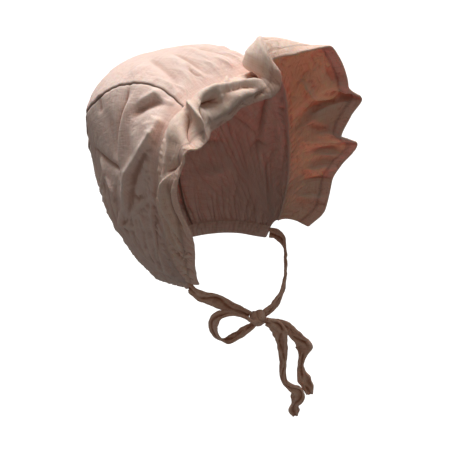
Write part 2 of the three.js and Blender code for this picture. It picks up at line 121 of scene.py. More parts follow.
# the large folds of the crown, by angle back from the face and by place across
CROWN_FOLDS = (
    # the right side panel
    Fold(((8, -0.25), (11, -0.26), (15, -0.295), (19, -0.345)), -4.2, 5),
    Fold(((12.5, -0.22), (14.5, -0.25), (18, -0.29)), 2.0, 3.0, RIDGE),
    Fold(((22.5, -0.20), (22.5, -0.28), (24.2, -0.34), (26, -0.41), (27.5, -0.475), (26.8, -0.535)),
         -3.6, 3.2, RIDGE),
    Fold(((20, -0.24), (20.8, -0.29), (22.2, -0.35), (23.8, -0.42), (25, -0.49), (24.6, -0.555)),
         2.6, 4.0, RIDGE),
    Fold(((8, -0.29), (8.5, -0.36), (11, -0.42), (14.2, -0.466), (18.5, -0.51), (21.8, -0.54), (25.2, -0.59),
          (28.2, -0.64), (33, -0.69)), 5.0, 4.6, RIDGE),
    Fold(((8.5, -0.41), (13.5, -0.486), (18, -0.542), (21.2, -0.584), (24.5, -0.632), (30, -0.69)),
         -3.6, 4.2),
    Fold(((42, -0.40), (40.5, -0.455), (39.8, -0.51), (45, -0.50), (52, -0.47), (56, -0.51)),
         2.2, 2.0, RIDGE),
    Fold(((41.5, -0.505), (37.8, -0.56), (37, -0.59), (39.8, -0.61), (40.5, -0.645), (43, -0.70)),
         2.8, 2.2, RIDGE),
    Fold(((47, -0.36), (42, -0.425), (35, -0.49), (28.2, -0.525), (25.2, -0.56)), -3.4, 2.2, RIDGE),
    Fold(((11, -0.57), (10.2, -0.60), (10, -0.63), (11.2, -0.675), (13, -0.72), (14, -0.76), (17, -0.81),
          (23, -0.85)), 3.0, 1.8, RIDGE),
    Fold(((8.5, -0.60), (9, -0.66), (11, -0.72), (12.5, -0.77)), -2.0, 3.4),
    Fold(((8, -0.50), (7, -0.54), (9, -0.575)), 1.8, 1.8, RIDGE),
    Fold(((23, -0.665), (16, -0.635), (11.8, -0.61)), 2.2, 1.6, RIDGE),
    Fold(((23, -0.67), (20, -0.68), (19, -0.715), (19.5, -0.75)), 2.0, 1.6, RIDGE),
    Fold(((32, -0.64), (37.5, -0.675), (41, -0.70), (32, -0.73), (28, -0.745), (27.5, -0.78)),
         2.4, 1.8, RIDGE),
    Fold(((37, -0.65), (40, -0.68), (44, -0.705), (45.5, -0.73)), 2.0, 1.6, RIDGE),
    Fold(((40, -0.845), (32, -0.885), (30, -0.925)), 2.2, 1.8, RIDGE),
    Fold(((20, -0.87), (24, -0.91), (26, -0.935)), 2.0, 1.6, RIDGE),
    Fold(((33, -0.25), (33, -0.285), (33, -0.32)), -2.0, 3.0),
    Fold(((56, -0.30), (55.5, -0.355), (57, -0.42), (52, -0.52), (50, -0.60)), 2.6, 5),
    Fold(((60, -0.34), (58, -0.42), (60, -0.47), (56, -0.54), (51, -0.615)), -2.6, 3.4),
    Fold(((66, -0.34), (62, -0.43), (61, -0.49), (58, -0.60), (54, -0.695)), 2.8, 3.4, RIDGE),
    Fold(((76, -0.40), (72, -0.52), (66, -0.66)), -2.2, 4.2),
    Fold(((30, -0.30), (29, -0.37), (29.5, -0.44), (32, -0.50)), -1.8, 5),
    Fold(((17, -0.37), (16, -0.43), (18, -0.47)), 1.4, 5),
    Fold(((12, -0.80), (16, -0.85), (20, -0.90)), 2.0, 1.6, RIDGE),
    Fold(((27, -0.80), (34, -0.83), (42, -0.83)), 2.0, 1.8, RIDGE),
    Fold(((15, -0.60), (18, -0.62), (22, -0.61)), -1.6, 2.4),
    Fold(((26, -0.66), (28, -0.74), (33, -0.83), (42, -0.90)), 2.4, 2.0, RIDGE),
    Fold(((20, -0.74), (24, -0.81), (31, -0.88), (41, -0.93)), 2.2, 1.8, RIDGE),
    Fold(((14, -0.78), (17, -0.85), (23, -0.91), (30, -0.95)), 2.0, 1.6, RIDGE),
    Fold(((29, -0.70), (33, -0.78), (40, -0.86), (52, -0.92)), -2.4, 2.0, RIDGE),
    Fold(((12, -0.70), (13.5, -0.77), (17, -0.83)), -2.2, 1.8, RIDGE),
    # the centre panel, over the head and down to the nape
    Fold(((27, -0.04), (18, -0.10), (12.5, -0.135), (9, -0.17)), -2.6, 5),
    Fold(((22, -0.01), (15.5, -0.05), (11, -0.085)), 1.8, 4),
    Fold(((14, -0.05), (10, -0.066), (7.8, -0.06)), -1.6, 3),
    Fold(((23, -0.19), (24, -0.15), (24.5, -0.10)), 1.8, 4),
    Fold(((23, 0.015), (15.5, -0.005), (10, -0.02), (8, 0.01)), -1.8, 3.5),
    Fold(((24, 0.09), (16, 0.06), (10, 0.05)), 1.8, 4),
    Fold(((30, 0.12), (18, 0.12), (9, 0.15)), -2.0, 5),
    Fold(((44, -0.10), (38, -0.02), (34, 0.08)), 2.0, 8),
    Fold(((54, 0.14), (46, 0.08), (40, 0.05)), -1.8, 7),
    Fold(((78, -0.12), (66, -0.16), (56, -0.20)), 2.6, 6),
    Fold(((82, -0.02), (70, -0.03), (60, -0.06)), -2.0, 5),
    Fold(((84, 0.15), (70, 0.13), (58, 0.10)), 2.8, 6),
    Fold(((76, 0.24), (66, 0.20), (58, 0.19)), -2.0, 5),
    # the left side panel
    Fold(((9, 0.25), (13, 0.27), (17, 0.33)), -3.0, 7),
    Fold(((22, 0.24), (23, 0.34), (24, 0.44), (26, 0.52)), -3.4, 4.5),
    Fold(((20, 0.28), (20.5, 0.38), (22, 0.48), (24, 0.55)), 2.8, 3.4, RIDGE),
    Fold(((8, 0.31), (10, 0.40), (15, 0.49), (22, 0.57), (32, 0.67)), 4.4, 4.2, RIDGE),
    Fold(((9, 0.43), (15, 0.52), (22, 0.61), (30, 0.70)), -2.8, 6),
    Fold(((42, 0.36), (36, 0.45), (30, 0.54), (26, 0.60)), -2.8, 4),
    Fold(((46, 0.44), (40, 0.54), (35, 0.63), (33, 0.70)), 2.4, 3, RIDGE),
    Fold(((11, 0.58), (10.5, 0.65), (13, 0.73), (18, 0.82)), 2.4, 2.4, RIDGE),
    Fold(((28, 0.72), (36, 0.68), (44, 0.70)), 2.0, 2.4, RIDGE),
    Fold(((64, 0.34), (58, 0.46), (50, 0.60)), 2.8, 5, RIDGE),
    Fold(((74, 0.40), (68, 0.54), (60, 0.66)), -2.0, 5),
)


def mirrored(places: tuple[Place, ...]) -> tuple[Place, ...]:
    """The same places on the other side of the crown."""
    return tuple((angle, -across) for angle, across in places)


BACK_FAN = (((46, -0.42), (52, -0.52), (58, -0.62), (66, -0.74)),
            ((26, -0.76), (33, -0.82), (40, -0.88), (50, -0.95)))
NAPE_FAN = (((74, -0.36), (80, -0.46), (88, -0.58), (97, -0.66)),
            ((52, -0.66), (62, -0.76), (76, -0.84), (92, -0.90)))
FACE_FAN = (((5.4, -0.92), (8, -0.90), (11, -0.90)), ((5.4, -0.30), (9, -0.30), (14, -0.31)))

# fans of fine wrinkles, each between two lines: the first, the last, how many, height and width
CROWN_FANS = (
    (*BACK_FAN, 11, 1.6, 1.7),
    (*NAPE_FAN, 8, 1.3, 1.9),
    (*map(mirrored, BACK_FAN), 10, 1.9, 1.8),
    (*map(mirrored, NAPE_FAN), 8, 1.8, 1.9),
    (((58, -0.22), (70, -0.24), (84, -0.26), (97, -0.28)),
     ((56, 0.22), (70, 0.25), (84, 0.27), (97, 0.29)), 9, 1.8, 2.2),
    (*FACE_FAN, 24, 1.3, 1.4),
    (((5.4, -0.26), (10, -0.25), (17, -0.24)), ((5.4, 0.26), (10, 0.25), (17, 0.24)), 13, 1.5, 1.9),
    (*map(mirrored, reversed(FACE_FAN)), 24, 1.3, 1.4),
)

# the brim from the right corner over the forehead to the left corner
BRIM_ROWS = (
    BrimRow(0, (5, 1, 3), (13, 0, 5)),
    BrimRow(4, (11, 1, 5), (19, 1, 6)),
    BrimRow(8, (15, 1, 8), (25, 2, 7)),
    BrimRow(12, (17, 5, 8), (30, 4, 7)),
    BrimRow(15.5, (17, 9, 10), (33, 9, 9)),
    BrimRow(19, (15, 12, 11), (31, 14, 11)),
    BrimRow(22.5, (16, 13, 10), (30, 16, 12)),
    BrimRow(26, (20, 12, 5), (33, 16, 10)),
    BrimRow(29, (22, 13, 0), (35, 18, 6)),
    BrimRow(31.5, (22, 14, -4), (38, 17, -4)),
    BrimRow(34.5, (21, 15, -11), (40, 9, -16)),
    BrimRow(37.5, (22, 13, -13), (36, -1, -20)),
    BrimRow(40, (23, 14, -17), (33, -6, -22)),
    BrimRow(43, (23, 15, -22), (28, -9, -23)),
    BrimRow(46, (23, 13, -24), (27, -11, -25)),
    BrimRow(49, (24, 10, -24), (28, -10, -25)),
    BrimRow(52, (26, 8, -23), (29, -6, -23)),
    BrimRow(55, (26, 4, -20), (30, -8, -20)),
    BrimRow(58, (25, 0, -17), (32, -9, -17)),
    BrimRow(59, (21, 1, -20), (34, -7, -18)),
    BrimRow(60, (14, 3.5, -24), (35, -4, -19)),
    BrimRow(61, (8, 7, -30), (35, 0, -22)),
    BrimRow(62, (7.5, 14.5, -32), (34, 3, -26)),
    BrimRow(64, (6.5, 20, -26.5), (26, 7, -35)),
    BrimRow(66.5, (8.5, 18.5, -26), (34, 8, -33)),
    BrimRow(69.5, (13, 15, -22), (39, 12, -33)),
    BrimRow(72.5, (16, 13, -23), (37, 21, -33)),
    BrimRow(75, (20, 10, -23), (40, 20, -32)),
    BrimRow(77.5, (23, 9, -20), (45, 16, -27)),
    BrimRow(80, (20, 21, -20), (44, 36, -19)),
    BrimRow(83, (20, 11, -19), (42, 22, -21)),
    BrimRow(85.5, (21, 8, -18), (43, 7, -20)),
    BrimRow(88, (20, 14, -15), (42, 31, -18)),
    BrimRow(92, (15, 13, -18), (33, 22, -20)),
    BrimRow(95, (13, 9, -18), (28, 18, -21)),
    BrimRow(98, (11, 7, -11), (29, 15, -11)),
    BrimRow(100, (8, 4, -4), (22, 10, -3)),
)

# the large folds of the brim, by hundredths along its seam and by place from seam to hem
BRIM_FOLDS = (
    # the low end at the right cheek
    Fold(((18, 0.20), (14.6, 0.22), (12, 0.26), (9.6, 0.34)), 2.6, 1.8, RIDGE),
    Fold(((16.5, 0.34), (14, 0.38), (11.5, 0.44), (10.2, 0.50)), -7.0, 2.4, RIDGE),
    Fold(((16.5, 0.44), (13, 0.54), (10.5, 0.60), (8.4, 0.66)), 3.6, 2.0, RIDGE),
    Fold(((8.2, 0.16), (6.2, 0.30), (4.4, 0.46)), -5.0, 2.0, RIDGE),
    Fold(((10, 0.10), (8.2, 0.28), (6.4, 0.46), (5.4, 0.60)), 3.0, 1.6, RIDGE),
    Fold(((8.4, 0.40), (8.8, 0.62), (9.6, 0.96)), 2.2, 1.4, RIDGE),
    Fold(((5.6, 0.55), (4.6, 0.74), (3.8, 0.92)), -3.0, 2.2, RIDGE),
    Fold(((3.4, 0.2), (2.4, 0.5), (1.6, 0.8)), -3.0, 2.0, RIDGE),
    # the belly at the temple
    Fold(((27, 0.66), (24, 0.58), (20.5, 0.52), (17.5, 0.58), (14.5, 0.70), (11.5, 0.74)), 4.0, 2.2, RIDGE),
    Fold(((24.5, 0.30), (21, 0.32), (17.5, 0.36)), -4.0, 2.4, RIDGE),
    Fold(((25, 0.86), (21.5, 0.76), (18, 0.78), (15, 0.86)), -3.0, 2.0, RIDGE),
    Fold(((22.5, 0.12), (19, 0.16), (16.5, 0.20)), 2.4, 2.0, RIDGE),
    # the flute over the belly
    Fold(((26.6, 0.42), (27.3, 0.60), (28.2, 0.80), (29.4, 0.98)), -4.2, 2.2, RIDGE),
    Fold(((38.4, 0.20), (36, 0.30), (33, 0.36), (30, 0.36), (27.5, 0.32), (25.5, 0.30)), 2.6, 5.5),
    Fold(((38.0, 0.44), (36.6, 0.62), (35.2, 0.80), (33.6, 0.92)), -6.0, 3.6),
    # the flap on edge below the end of the panel's seam
    Fold(((39.6, 0.22), (39.5, 0.50), (38.9, 0.76), (37.8, 0.96)), 5.5, 2.0, RIDGE),
    Fold(((41.6, 0.56), (40.8, 0.74), (40.0, 0.90)), -2.5, 2.6),
    # the crest over the forehead, the valley behind it and the pocket in front of it
    Fold(((40.8, 0.40), (43, 0.45), (46, 0.46), (50, 0.47), (54, 0.47), (57, 0.48), (59, 0.50)),
         3.6, 3.2, RIDGE),
    Fold(((46, 0.17), (49, 0.20), (52, 0.23), (55, 0.25), (58, 0.25), (60, 0.22)), -5.0, 3.2),
    Fold(((41.5, 0.60), (43, 0.66), (45.5, 0.70), (48.0, 0.68)), -9.5, 5.4),
    Fold(((48, 0.60), (51, 0.58), (54, 0.60), (56.5, 0.66)), -2.4, 2.6),
    Fold(((44, 0.92), (46.5, 0.90), (49, 0.84), (52, 0.78), (55, 0.78)), 2.6, 3.6),
    Fold(((51.4, 0.02), (51.0, 0.10), (50.4, 0.18)), 4.0, 1.8, RIDGE),
    Fold(((57.5, 0.74), (56, 0.84), (54, 0.90)), -2.6, 3),
    # the standing ruffle and the far flap
    Fold(((63.5, 0.30), (64, 0.50), (63.2, 0.72), (62.4, 0.92)), 2.2, 2.4, RIDGE),
    Fold(((67.5, 0.10), (68, 0.40), (68, 0.70)), -2.0, 4),
    Fold(((69, 0.30), (70, 0.55), (70, 0.80)), 2.4, 4),
    Fold(((72.5, 0.22), (75, 0.34), (78, 0.44), (79.4, 0.60), (78.8, 0.80), (78.4, 0.98)), -3.6, 3.0, RIDGE),
    Fold(((74.5, 0.70), (76.2, 0.78), (77, 0.94)), 2.6, 5),
    Fold(((80.6, 0.24), (82, 0.42), (81.8, 0.66), (80.8, 0.95)), -3.4, 2.6, RIDGE),
    Fold(((78.6, 0.64), (79.4, 0.80), (79.6, 0.90)), 5.0, 4.5),
    Fold(((83.6, 0.30), (84.6, 0.52), (84.8, 0.72)), 3.0, 4),
    Fold(((85.2, 0.16), (86.4, 0.40), (86.8, 0.66), (87.2, 0.96)), -3.6, 2.4, RIDGE),
    Fold(((88.2, 0.30), (88.6, 0.56), (88.8, 0.80)), 3.4, 2.8),
    Fold(((89.4, 0.45), (90, 0.70), (90.4, 0.97)), -2.2, 2.2, RIDGE),
    Fold(((91.6, 0.24), (92.6, 0.50), (92.6, 0.78), (92.4, 0.98)), -4.4, 4.2),
    Fold(((94.4, 0.30), (95, 0.60), (94.8, 0.98)), 4.2, 2.6, RIDGE),
    Fold(((97, 0.30), (97.2, 0.60), (97, 0.98)), -2.4, 2.6, RIDGE),
)

TIE_RIGHT = (
    TapeRow(-50.3, -25.5, -152.3, 8.6, 2.2),
    TapeRow(-52.2, -32, -152.6, 9, 2.2),
    TapeRow(-51.5, -38, -154, 9.5, 2.0),
    TapeRow(-45, -44, -158, 10, 1.8),
    TapeRow(-38.5, -50.5, -163.5, 9.5, 1.8),
    TapeRow(-32.5, -57, -168.5, 8, 2.2),
    TapeRow(-26.4, -63.5, -173.6, 6, 3),
)
TIE_LEFT = (
    TapeRow(50.3, -25.5, -152.3, 8.6, 2.2),
    TapeRow(52.2, -32, -152.6, 9, 2.2),
    TapeRow(50, -40, -156, 9.5, 2.0),
    TapeRow(40, -49, -163, 10, 1.8),
    TapeRow(27, -58, -170, 10, 1.8),
    TapeRow(12, -65, -175, 9.5, 1.8),
    TapeRow(-2, -68, -177, 8, 2.2),
    TapeRow(-14.5, -68, -177.2, 6, 3),
)
LOOP = (
    TapeRow(-26, -69.4, -176.2, 4, 2.2),
    TapeRow(-30.7, -69.6, -174.4, 5, 2.2),
    TapeRow(-34.5, -64.6, -170.4, 6, 1.8),
    TapeRow(-40.7, -58, -166.8, 6.5, 1.6),
    TapeRow(-46, -51.2, -167.8, 7.5, 1.6),
    TapeRow(-48, -47, -174.4, 9, 1.6),
    TapeRow(-47.4, -45.4, -182.5, 9, 1.6),
    TapeRow(-45, -47.2, -190.3, 8.5, 1.6),
    TapeRow(-41, -52.5, -193.8, 8, 1.6),
    TapeRow(-36.2, -58.6, -189.5, 8, 1.6),
    TapeRow(-32.5, -64, -184, 7, 1.8),
    TapeRow(-29, -67.5, -180.6, 6, 2.2),
    TapeRow(-25, -69, -178.2, 4.5, 2.2),
)
END_FRONT = (
    TapeRow(-20.6, -75.4, -178.2, 6, 3),
    TapeRow(-17.5, -79.5, -180.5, 9, 2.6),
    TapeRow(-14.8, -82.6, -186, 10.5, 2.2),
    TapeRow(-13.6, -84.4, -195, 8.5, 2.2),
    TapeRow(-13, -85.5, -205, 7, 2.4),
    TapeRow(-13, -86, -216, 5.5, 2.6),
    TapeRow(-13, -86, -226, 4.8, 2.8),
    TapeRow(-11.8, -87.4, -234.6, 4.6, 3),
    TapeRow(-8.6, -91, -240.4, 5.5, 3.6),
    TapeRow(-5.6, -94.6, -244.6, 8.6, 4.6),
    TapeRow(-5.2, -95.6, -251, 10.5, 5.4),
    TapeRow(-6.4, -94.2, -258, 5.8, 4.4),
    TapeRow(-6.8, -93.8, -263, 8.5, 3.4),
    TapeRow(-6.2, -94.6, -269, 4, 2.2),
)
END_BACK = (
    TapeRow(-15.6, -69.4, -181.9, 5, 3),
    TapeRow(-9.5, -75.4, -185.4, 8, 2.4),
    TapeRow(-4.5, -81, -188.6, 9, 2.2),
    TapeRow(-0.8, -86.4, -195, 8.5, 2.2),
    TapeRow(2.8, -90.6, -202, 9, 2.6),
    TapeRow(4.6, -93, -208, 12.5, 3),
    TapeRow(4, -92.6, -216, 6.5, 3),
    TapeRow(3.2, -91.6, -224, 4.6, 2.8),
    TapeRow(3.8, -92, -232, 6.5, 3.4),
    TapeRow(5.2, -94, -239.6, 9.8, 4.4),
    TapeRow(7, -96.6, -247, 8.6, 4.6),
    TapeRow(8, -98, -254, 5.5, 3.4),
)
UPRIGHT = (0.0, 0.0, 1.0)
LOOP_ACROSS = (-0.1, -0.98, 0.15)
TO_THE_FRONT = (0.62, -0.79, 0.0)


def smooth_step(value: Array | float, low: float, high: float) -> Array:
    """A smooth rise from 0 at low to 1 at high.

    Args:
        value: Where to read the rise.
        low: The value at which it starts.
        high: The value at which it ends.

    Returns:
        The rise, from 0 to 1, as an array of value's shape.
    """
    share = np.clip((np.asarray(value, float) - low) / (high - low), 0, 1)
    return share * share * (3 - 2 * share)


def through(places: Array, values: Array, at: Array | float) -> Array:
    """A smooth curve through a table's column that never overshoots its rows.

    Args:
        places: The rows' places, rising.
        values: The column's value at each place.
        at: Where to read the curve.

    Returns:
        The curve's values, as an array of at's shape.
    """
    places, values, at = (np.asarray(a, float) for a in (places, values, at))
    slope = np.diff(values) / np.diff(places)
    before, after = slope[:-1], slope[1:]
    same_way = before * after > 0
    total = np.where(same_way, before + after, 1)
    middle = np.where(same_way, 2 * before * after / total, 0)
    lean = np.concatenate((slope[:1], middle, slope[-1:]))
    i = np.clip(np.searchsorted(places, at) - 1, 0, len(places) - 2)
    span = places[i + 1] - places[i]
    t = np.clip((at - places[i]) / span, 0, 1)
    t2, t3 = t * t, t * t * t
    start = (2 * t3 - 3 * t2 + 1) * values[i] + (t3 - 2 * t2 + t) * span * lean[i]
    end = (3 * t2 - 2 * t3) * values[i + 1] + (t3 - t2) * span * lean[i + 1]
    return start + end


def unit(vectors: Array) -> Array:
    """The vectors at length one."""
    return vectors / np.maximum(np.linalg.norm(vectors, axis=-1, keepdims=True), 1e-9)


def run_along(points: Array, axis: int) -> Array:
    """The distance run through points.

    Args:
        points: The points, with their three coordinates last.
        axis: The axis that the run follows.

    Returns:
        The distance at each point, from zero at the first.
    """
    first = np.take(points, [0], axis=axis)
    return np.cumsum(np.linalg.norm(np.diff(points, axis=axis, prepend=first), axis=-1), axis=axis)


def rounded(away: Array, rounding: float) -> Array:
    """The distance from a line, zero on it and rounded off beside it by the root of rounding."""
    return np.sqrt(away**2 + rounding) - math.sqrt(rounding)


def grid_normals(grid: Array) -> Array:
    """Unit normals of a grid of points, on the side from which columns run right as rows run down.

    Args:
        grid: Points as rows by columns by three.

    Returns:
        One unit normal for each point.
    """
    down = np.gradient(grid, axis=0)
    over = np.gradient(grid, axis=1)
    return unit(np.cross(over, down))


class Ripple:
    """Smooth seeded noise over a plane, from about -1 to 1."""

    SIZE = 64

    def __init__(self, seed: int) -> None:
        """Draws the noise's slopes from the seed."""
        turned = np.random.default_rng(seed).uniform(0, 2 * math.pi, (self.SIZE, self.SIZE))
        self.slopes = np.stack((np.cos(turned), np.sin(turned)), axis=-1)

    def at(self, u: Array, v: Array) -> Array:
        """The noise at places given in noise cells.

        Args:
            u: The places' first coordinates.
            v: Their second coordinates.

        Returns:
            The noise, as an array of their shape.
        """
        cell_u, cell_v = np.floor(u).astype(int), np.floor(v).astype(int)
        part_u, part_v = u - cell_u, v - cell_v

        def pull(step_u: int, step_v: int) -> Array:
            slope = self.slopes[(cell_u + step_u) % self.SIZE, (cell_v + step_v) % self.SIZE]
            return slope[..., 0] * (part_u - step_u) + slope[..., 1] * (part_v - step_v)

        ease_u, ease_v = (p**3 * (p * (6 * p - 15) + 10) for p in (part_u, part_v))
        low = pull(0, 0) * (1 - ease_u) + pull(1, 0) * ease_u
        high = pull(0, 1) * (1 - ease_u) + pull(1, 1) * ease_u
        return 1.5 * (low * (1 - ease_v) + high * ease_v)


@dataclass(frozen=True)
class Crumple:
    """The fine crumple of washed linen: short pinched creases running every way.

    Attributes:
        seed: What the creases are drawn from.
        height: How high they stand, in millimetres.
        spacing: The distance from one to the next, in millimetres.
        layers: How many ways they run.
        sharp: How far a crease's foot reaches, as a share of the spacing.
        rounding: The square of its crest's rounding, as such a share.
        sway: How far the creases wander, as such a share.
        patchy: How strongly they come and go.
        sunk: The height of every third layer, as a share, below zero for valleys.
    """

    seed: int
    height: float
    spacing: float
    layers: int = 6
    sharp: float = 0.10
    rounding: float = 0.0009
    sway: float = 0.55
    patchy: float = 1.6
    sunk: float = -0.7

    def lift(self, u: Array, v: Array) -> Array:
        """How far the crumple lifts the cloth.

        Args:
            u: Places along the cloth, in millimetres.
            v: Places across it, in millimetres.

        Returns:
            The lift at each place, in millimetres.
        """
        rng = np.random.default_rng(self.seed)
        total = np.zeros(np.broadcast(u, v).shape)
        for layer in range(self.layers):
            turned = math.pi * (layer + rng.uniform(0.2, 0.8)) / self.layers
            spacing = self.spacing * rng.uniform(0.7, 1.5)
            bend = Ripple(self.seed * 31 + layer)
            patch = Ripple(self.seed * 57 + layer)
            line = (u * math.cos(turned) + v * math.sin(turned)) / spacing
            line = line + self.sway * bend.at(u / (2.2 * spacing), v / (2.2 * spacing))
            away = np.abs(line - np.round(line))
            crest = np.exp(-rounded(away, self.rounding) / self.sharp)
            there = patch.at(u / (1.6 * spacing) + 9.3, v / (1.6 * spacing) + 4.1)
            amount = np.clip(there * self.patchy - 0.15, 0, 1)
            total += (1 if layer % 3 else self.sunk) * crest * amount
        return self.height * total


# a ridge's rounding and how fast its foot falls off, in fold widths
RIDGE_ROUNDING, RIDGE_FALL = 0.04, 1.15
# how many widths a fold reaches
FOLD_REACH = 5
# how much of a fold's line its ends fade over, and the most in millimetres
TAPER_SHARE, LONGEST_TAPER = 0.4, 18.0
# the steps from one place of a fold to the next
LINE_STEPS = 4


def fold_profile(kind: FoldKind, away: Array) -> Array:
    """How high a fold stands beside its line.

    Args:
        kind: The fold's cross-section.
        away: The distance from the fold's line, in fold widths.

    Returns:
        The height at each distance, as a share of the fold's own.
    """
    if kind is FoldKind.SOFT:
        return np.exp(-away * away)
    return np.exp(-rounded(away, RIDGE_ROUNDING) * RIDGE_FALL)


def fold_lift(points: Array, fold: Fold, line: Array) -> Array:
    """How far one fold lifts each point of a cloth.

    Args:
        points: The cloth's points, as rows by columns by three.
        fold: The fold.
        line: The points that the fold runs through, on the same cloth.

    Returns:
        The lift of each point along the cloth's normal, in millimetres.
    """
    reach = FOLD_REACH * fold.width
    low, high = line.min(axis=0) - reach, line.max(axis=0) + reach
    near = np.all((points > low) & (points < high), axis=-1)
    cloth = points[near]
    nearest = np.full(len(cloth), np.inf)
    run_there = np.zeros(len(cloth))
    run = 0.0
    for start, end in zip(line[:-1], line[1:]):
        step = end - start
        length = float(np.linalg.norm(step))
        share = np.clip((cloth - start) @ step / length**2, 0, 1)
        away = np.linalg.norm(cloth - start - share[:, None] * step, axis=1)
        closer = away < nearest
        nearest = np.where(closer, away, nearest)
        run_there = np.where(closer, run + share * length, run_there)
        run += length
    taper = min(TAPER_SHARE * run, LONGEST_TAPER)
    before = -0.25 * taper
    ends = smooth_step(run_there, before, taper) * smooth_step(run - run_there, before, taper)
    lift = np.zeros(points.shape[:-1])
    lift[near] = fold.height * fold_profile(fold.kind, nearest / fold.width) * ends
    return lift


def fan(first: tuple[Place, ...], last: tuple[Place, ...], count: int, height: float, width: float,
        seed: int) -> list[Fold]:
    """Fine folds spread between two lines, each of its own length, height and bend.

    Args:
        first: The places of the first line.
        last: The places of the last line.
        count: How many folds lie between them.
        height: The height of a middling fold.
        width: Its width.
        seed: What the folds' differences are drawn from.

    Returns:
        The folds.
    """
    rng = np.random.default_rng(seed)
    start, end = (curve_through(np.array(places), LINE_STEPS) for places in (first, last))
    steps = len(start)
    folds = []
    for number in range(count):
        share = (number + rng.uniform(0.1, 0.9)) / count
        line = start * (1 - share) + end * share
        spread = np.abs(end - start).mean(axis=0) / count
        phase = np.linspace(0, math.pi * rng.uniform(1, 2.4), steps) + rng.uniform(0, 6)
        line = line + np.outer(np.sin(phase), spread * 0.35)
        begin = rng.integers(0, max(steps // 3, 1))
        finish = steps - rng.integers(0, max(steps // 3, 1))
        places = tuple((float(a), float(b)) for a, b in line[begin:finish])
        folds.append(Fold(places, height * rng.uniform(0.45, 1.3), width * rng.uniform(0.7, 1.3), RIDGE))
    return folds


def curve_through(points: Array, per_span: int) -> Array:
    """A smooth line through points, with equal steps in each span.

    Args:
        points: The points, as rows by columns.
        per_span: The steps from each point to the next.

    Returns:
        The line's points, ending at the last point.
    """
    points = np.asarray(points, float)
    padded = np.vstack((2 * points[0] - points[1], points, 2 * points[-1] - points[-2]))
    t = np.linspace(0, 1, per_span, endpoint=False)[:, None]
    spans = []
    for a, b, c, d in zip(padded, padded[1:], padded[2:], padded[3:]):
        spans.append(0.5 * (2 * b + (c - a) * t + (2 * a - 5 * b + 4 * c - d) * t**2
                            + (3 * b - a - 3 * c + d) * t**3))
    return np.vstack((*spans, points[-1:]))


def blur(grid: Array, passes: int) -> Array:
    """A grid of points drawn smooth.

    Args:
        grid: The points, as rows by columns by three.
        passes: How many times each point moves halfway to its neighbours' middle.

    Returns:
        The smooth grid, with its edges left in place.
    """
    smooth = grid.copy()
    for _ in range(passes):
        smooth[1:-1] += (smooth[:-2] + smooth[2:] - 2 * smooth[1:-1]) / 4
        smooth[:, 1:-1] += (smooth[:, :-2] + smooth[:, 2:] - 2 * smooth[:, 1:-1]) / 4
    return smooth


# how much blur takes off the fine and the broad folds, how many millimetres from the blurred
# cloth count as one, and how strongly each counts
FINE_BLUR, BROAD_BLUR = 5, 36
FINE_RISE, BROAD_RISE = 0.14, 0.75
FINE_PART, BROAD_PART = 0.55, 0.70
MOST_HOLLOW = 1.3
# the skin inside shows the outer skin's folds the other way round, and more softly, in its painted shade and
# highlight
INSIDE_HOLLOW = -0.55
# the rim counts as a ridge, so the cloth's edges take the painted highlight
RIM_HOLLOW = -0.8


# the linen paints shade where this is above zero and a highlight where it is below
def hollows(grid: Array, normals: Array) -> Array:
    """How hollow the cloth is at each point: above zero in valleys, below it on ridges.

    Args:
        grid: The cloth's points, as rows by columns by three.
        normals: Its outward normals.

    Returns:
        A number for each point, mostly from -1 to 1.
    """
    narrow, broad = blur(grid, FINE_BLUR), blur(grid, BROAD_BLUR)
    sharp = ((narrow - grid) * normals).sum(axis=-1) / FINE_RISE
    wide = ((broad - narrow) * normals).sum(axis=-1) / BROAD_RISE
    return MOST_HOLLOW * np.tanh((FINE_PART * sharp + BROAD_PART * wide) / MOST_HOLLOW)


def make_mesh(name: str, points: Array, faces: Array, cloth: Array | None = None) -> bpy.types.Object:
    """A smooth mesh object from points in millimetres.

    Args:
        name: The object's name.
        points: The points, as rows of three.
        faces: The faces' point numbers, as rows of four or of three.
        cloth: For each point its place along and across the cloth, in metres, its mark, a
            number from 0 to 1 that paints hems and seams darker, and how hollow the cloth is there, which
            paints shade and highlight.

    Returns:
        The new object, linked to the scene.
    """
    mesh = bpy.data.meshes.new(name)
    corners = faces.shape[1]
    mesh.vertices.add(len(points))
    mesh.vertices.foreach_set("co", (points * MM).astype(np.float32).ravel())
    mesh.loops.add(faces.size)
    mesh.loops.foreach_set("vertex_index", faces.astype(np.int32).ravel())
    mesh.polygons.add(len(faces))
    mesh.polygons.foreach_set("loop_start", np.arange(0, faces.size, corners, dtype=np.int32))
    mesh.polygons.foreach_set("use_smooth", np.ones(len(faces), dtype=bool))
    mesh.update(calc_edges=True)
    mesh.validate()
    if cloth is not None:
        marks = mesh.attributes.new("cloth", "FLOAT_VECTOR", "POINT")
        marks.data.foreach_set("vector", cloth[:, :3].astype(np.float32).ravel())
        hollow = mesh.attributes.new("hollow", "FLOAT", "POINT")
        hollow.data.foreach_set("value", cloth[:, 3].astype(np.float32))
    piece = bpy.data.objects.new(name, mesh)
    bpy.context.scene.collection.objects.link(piece)
    return piece


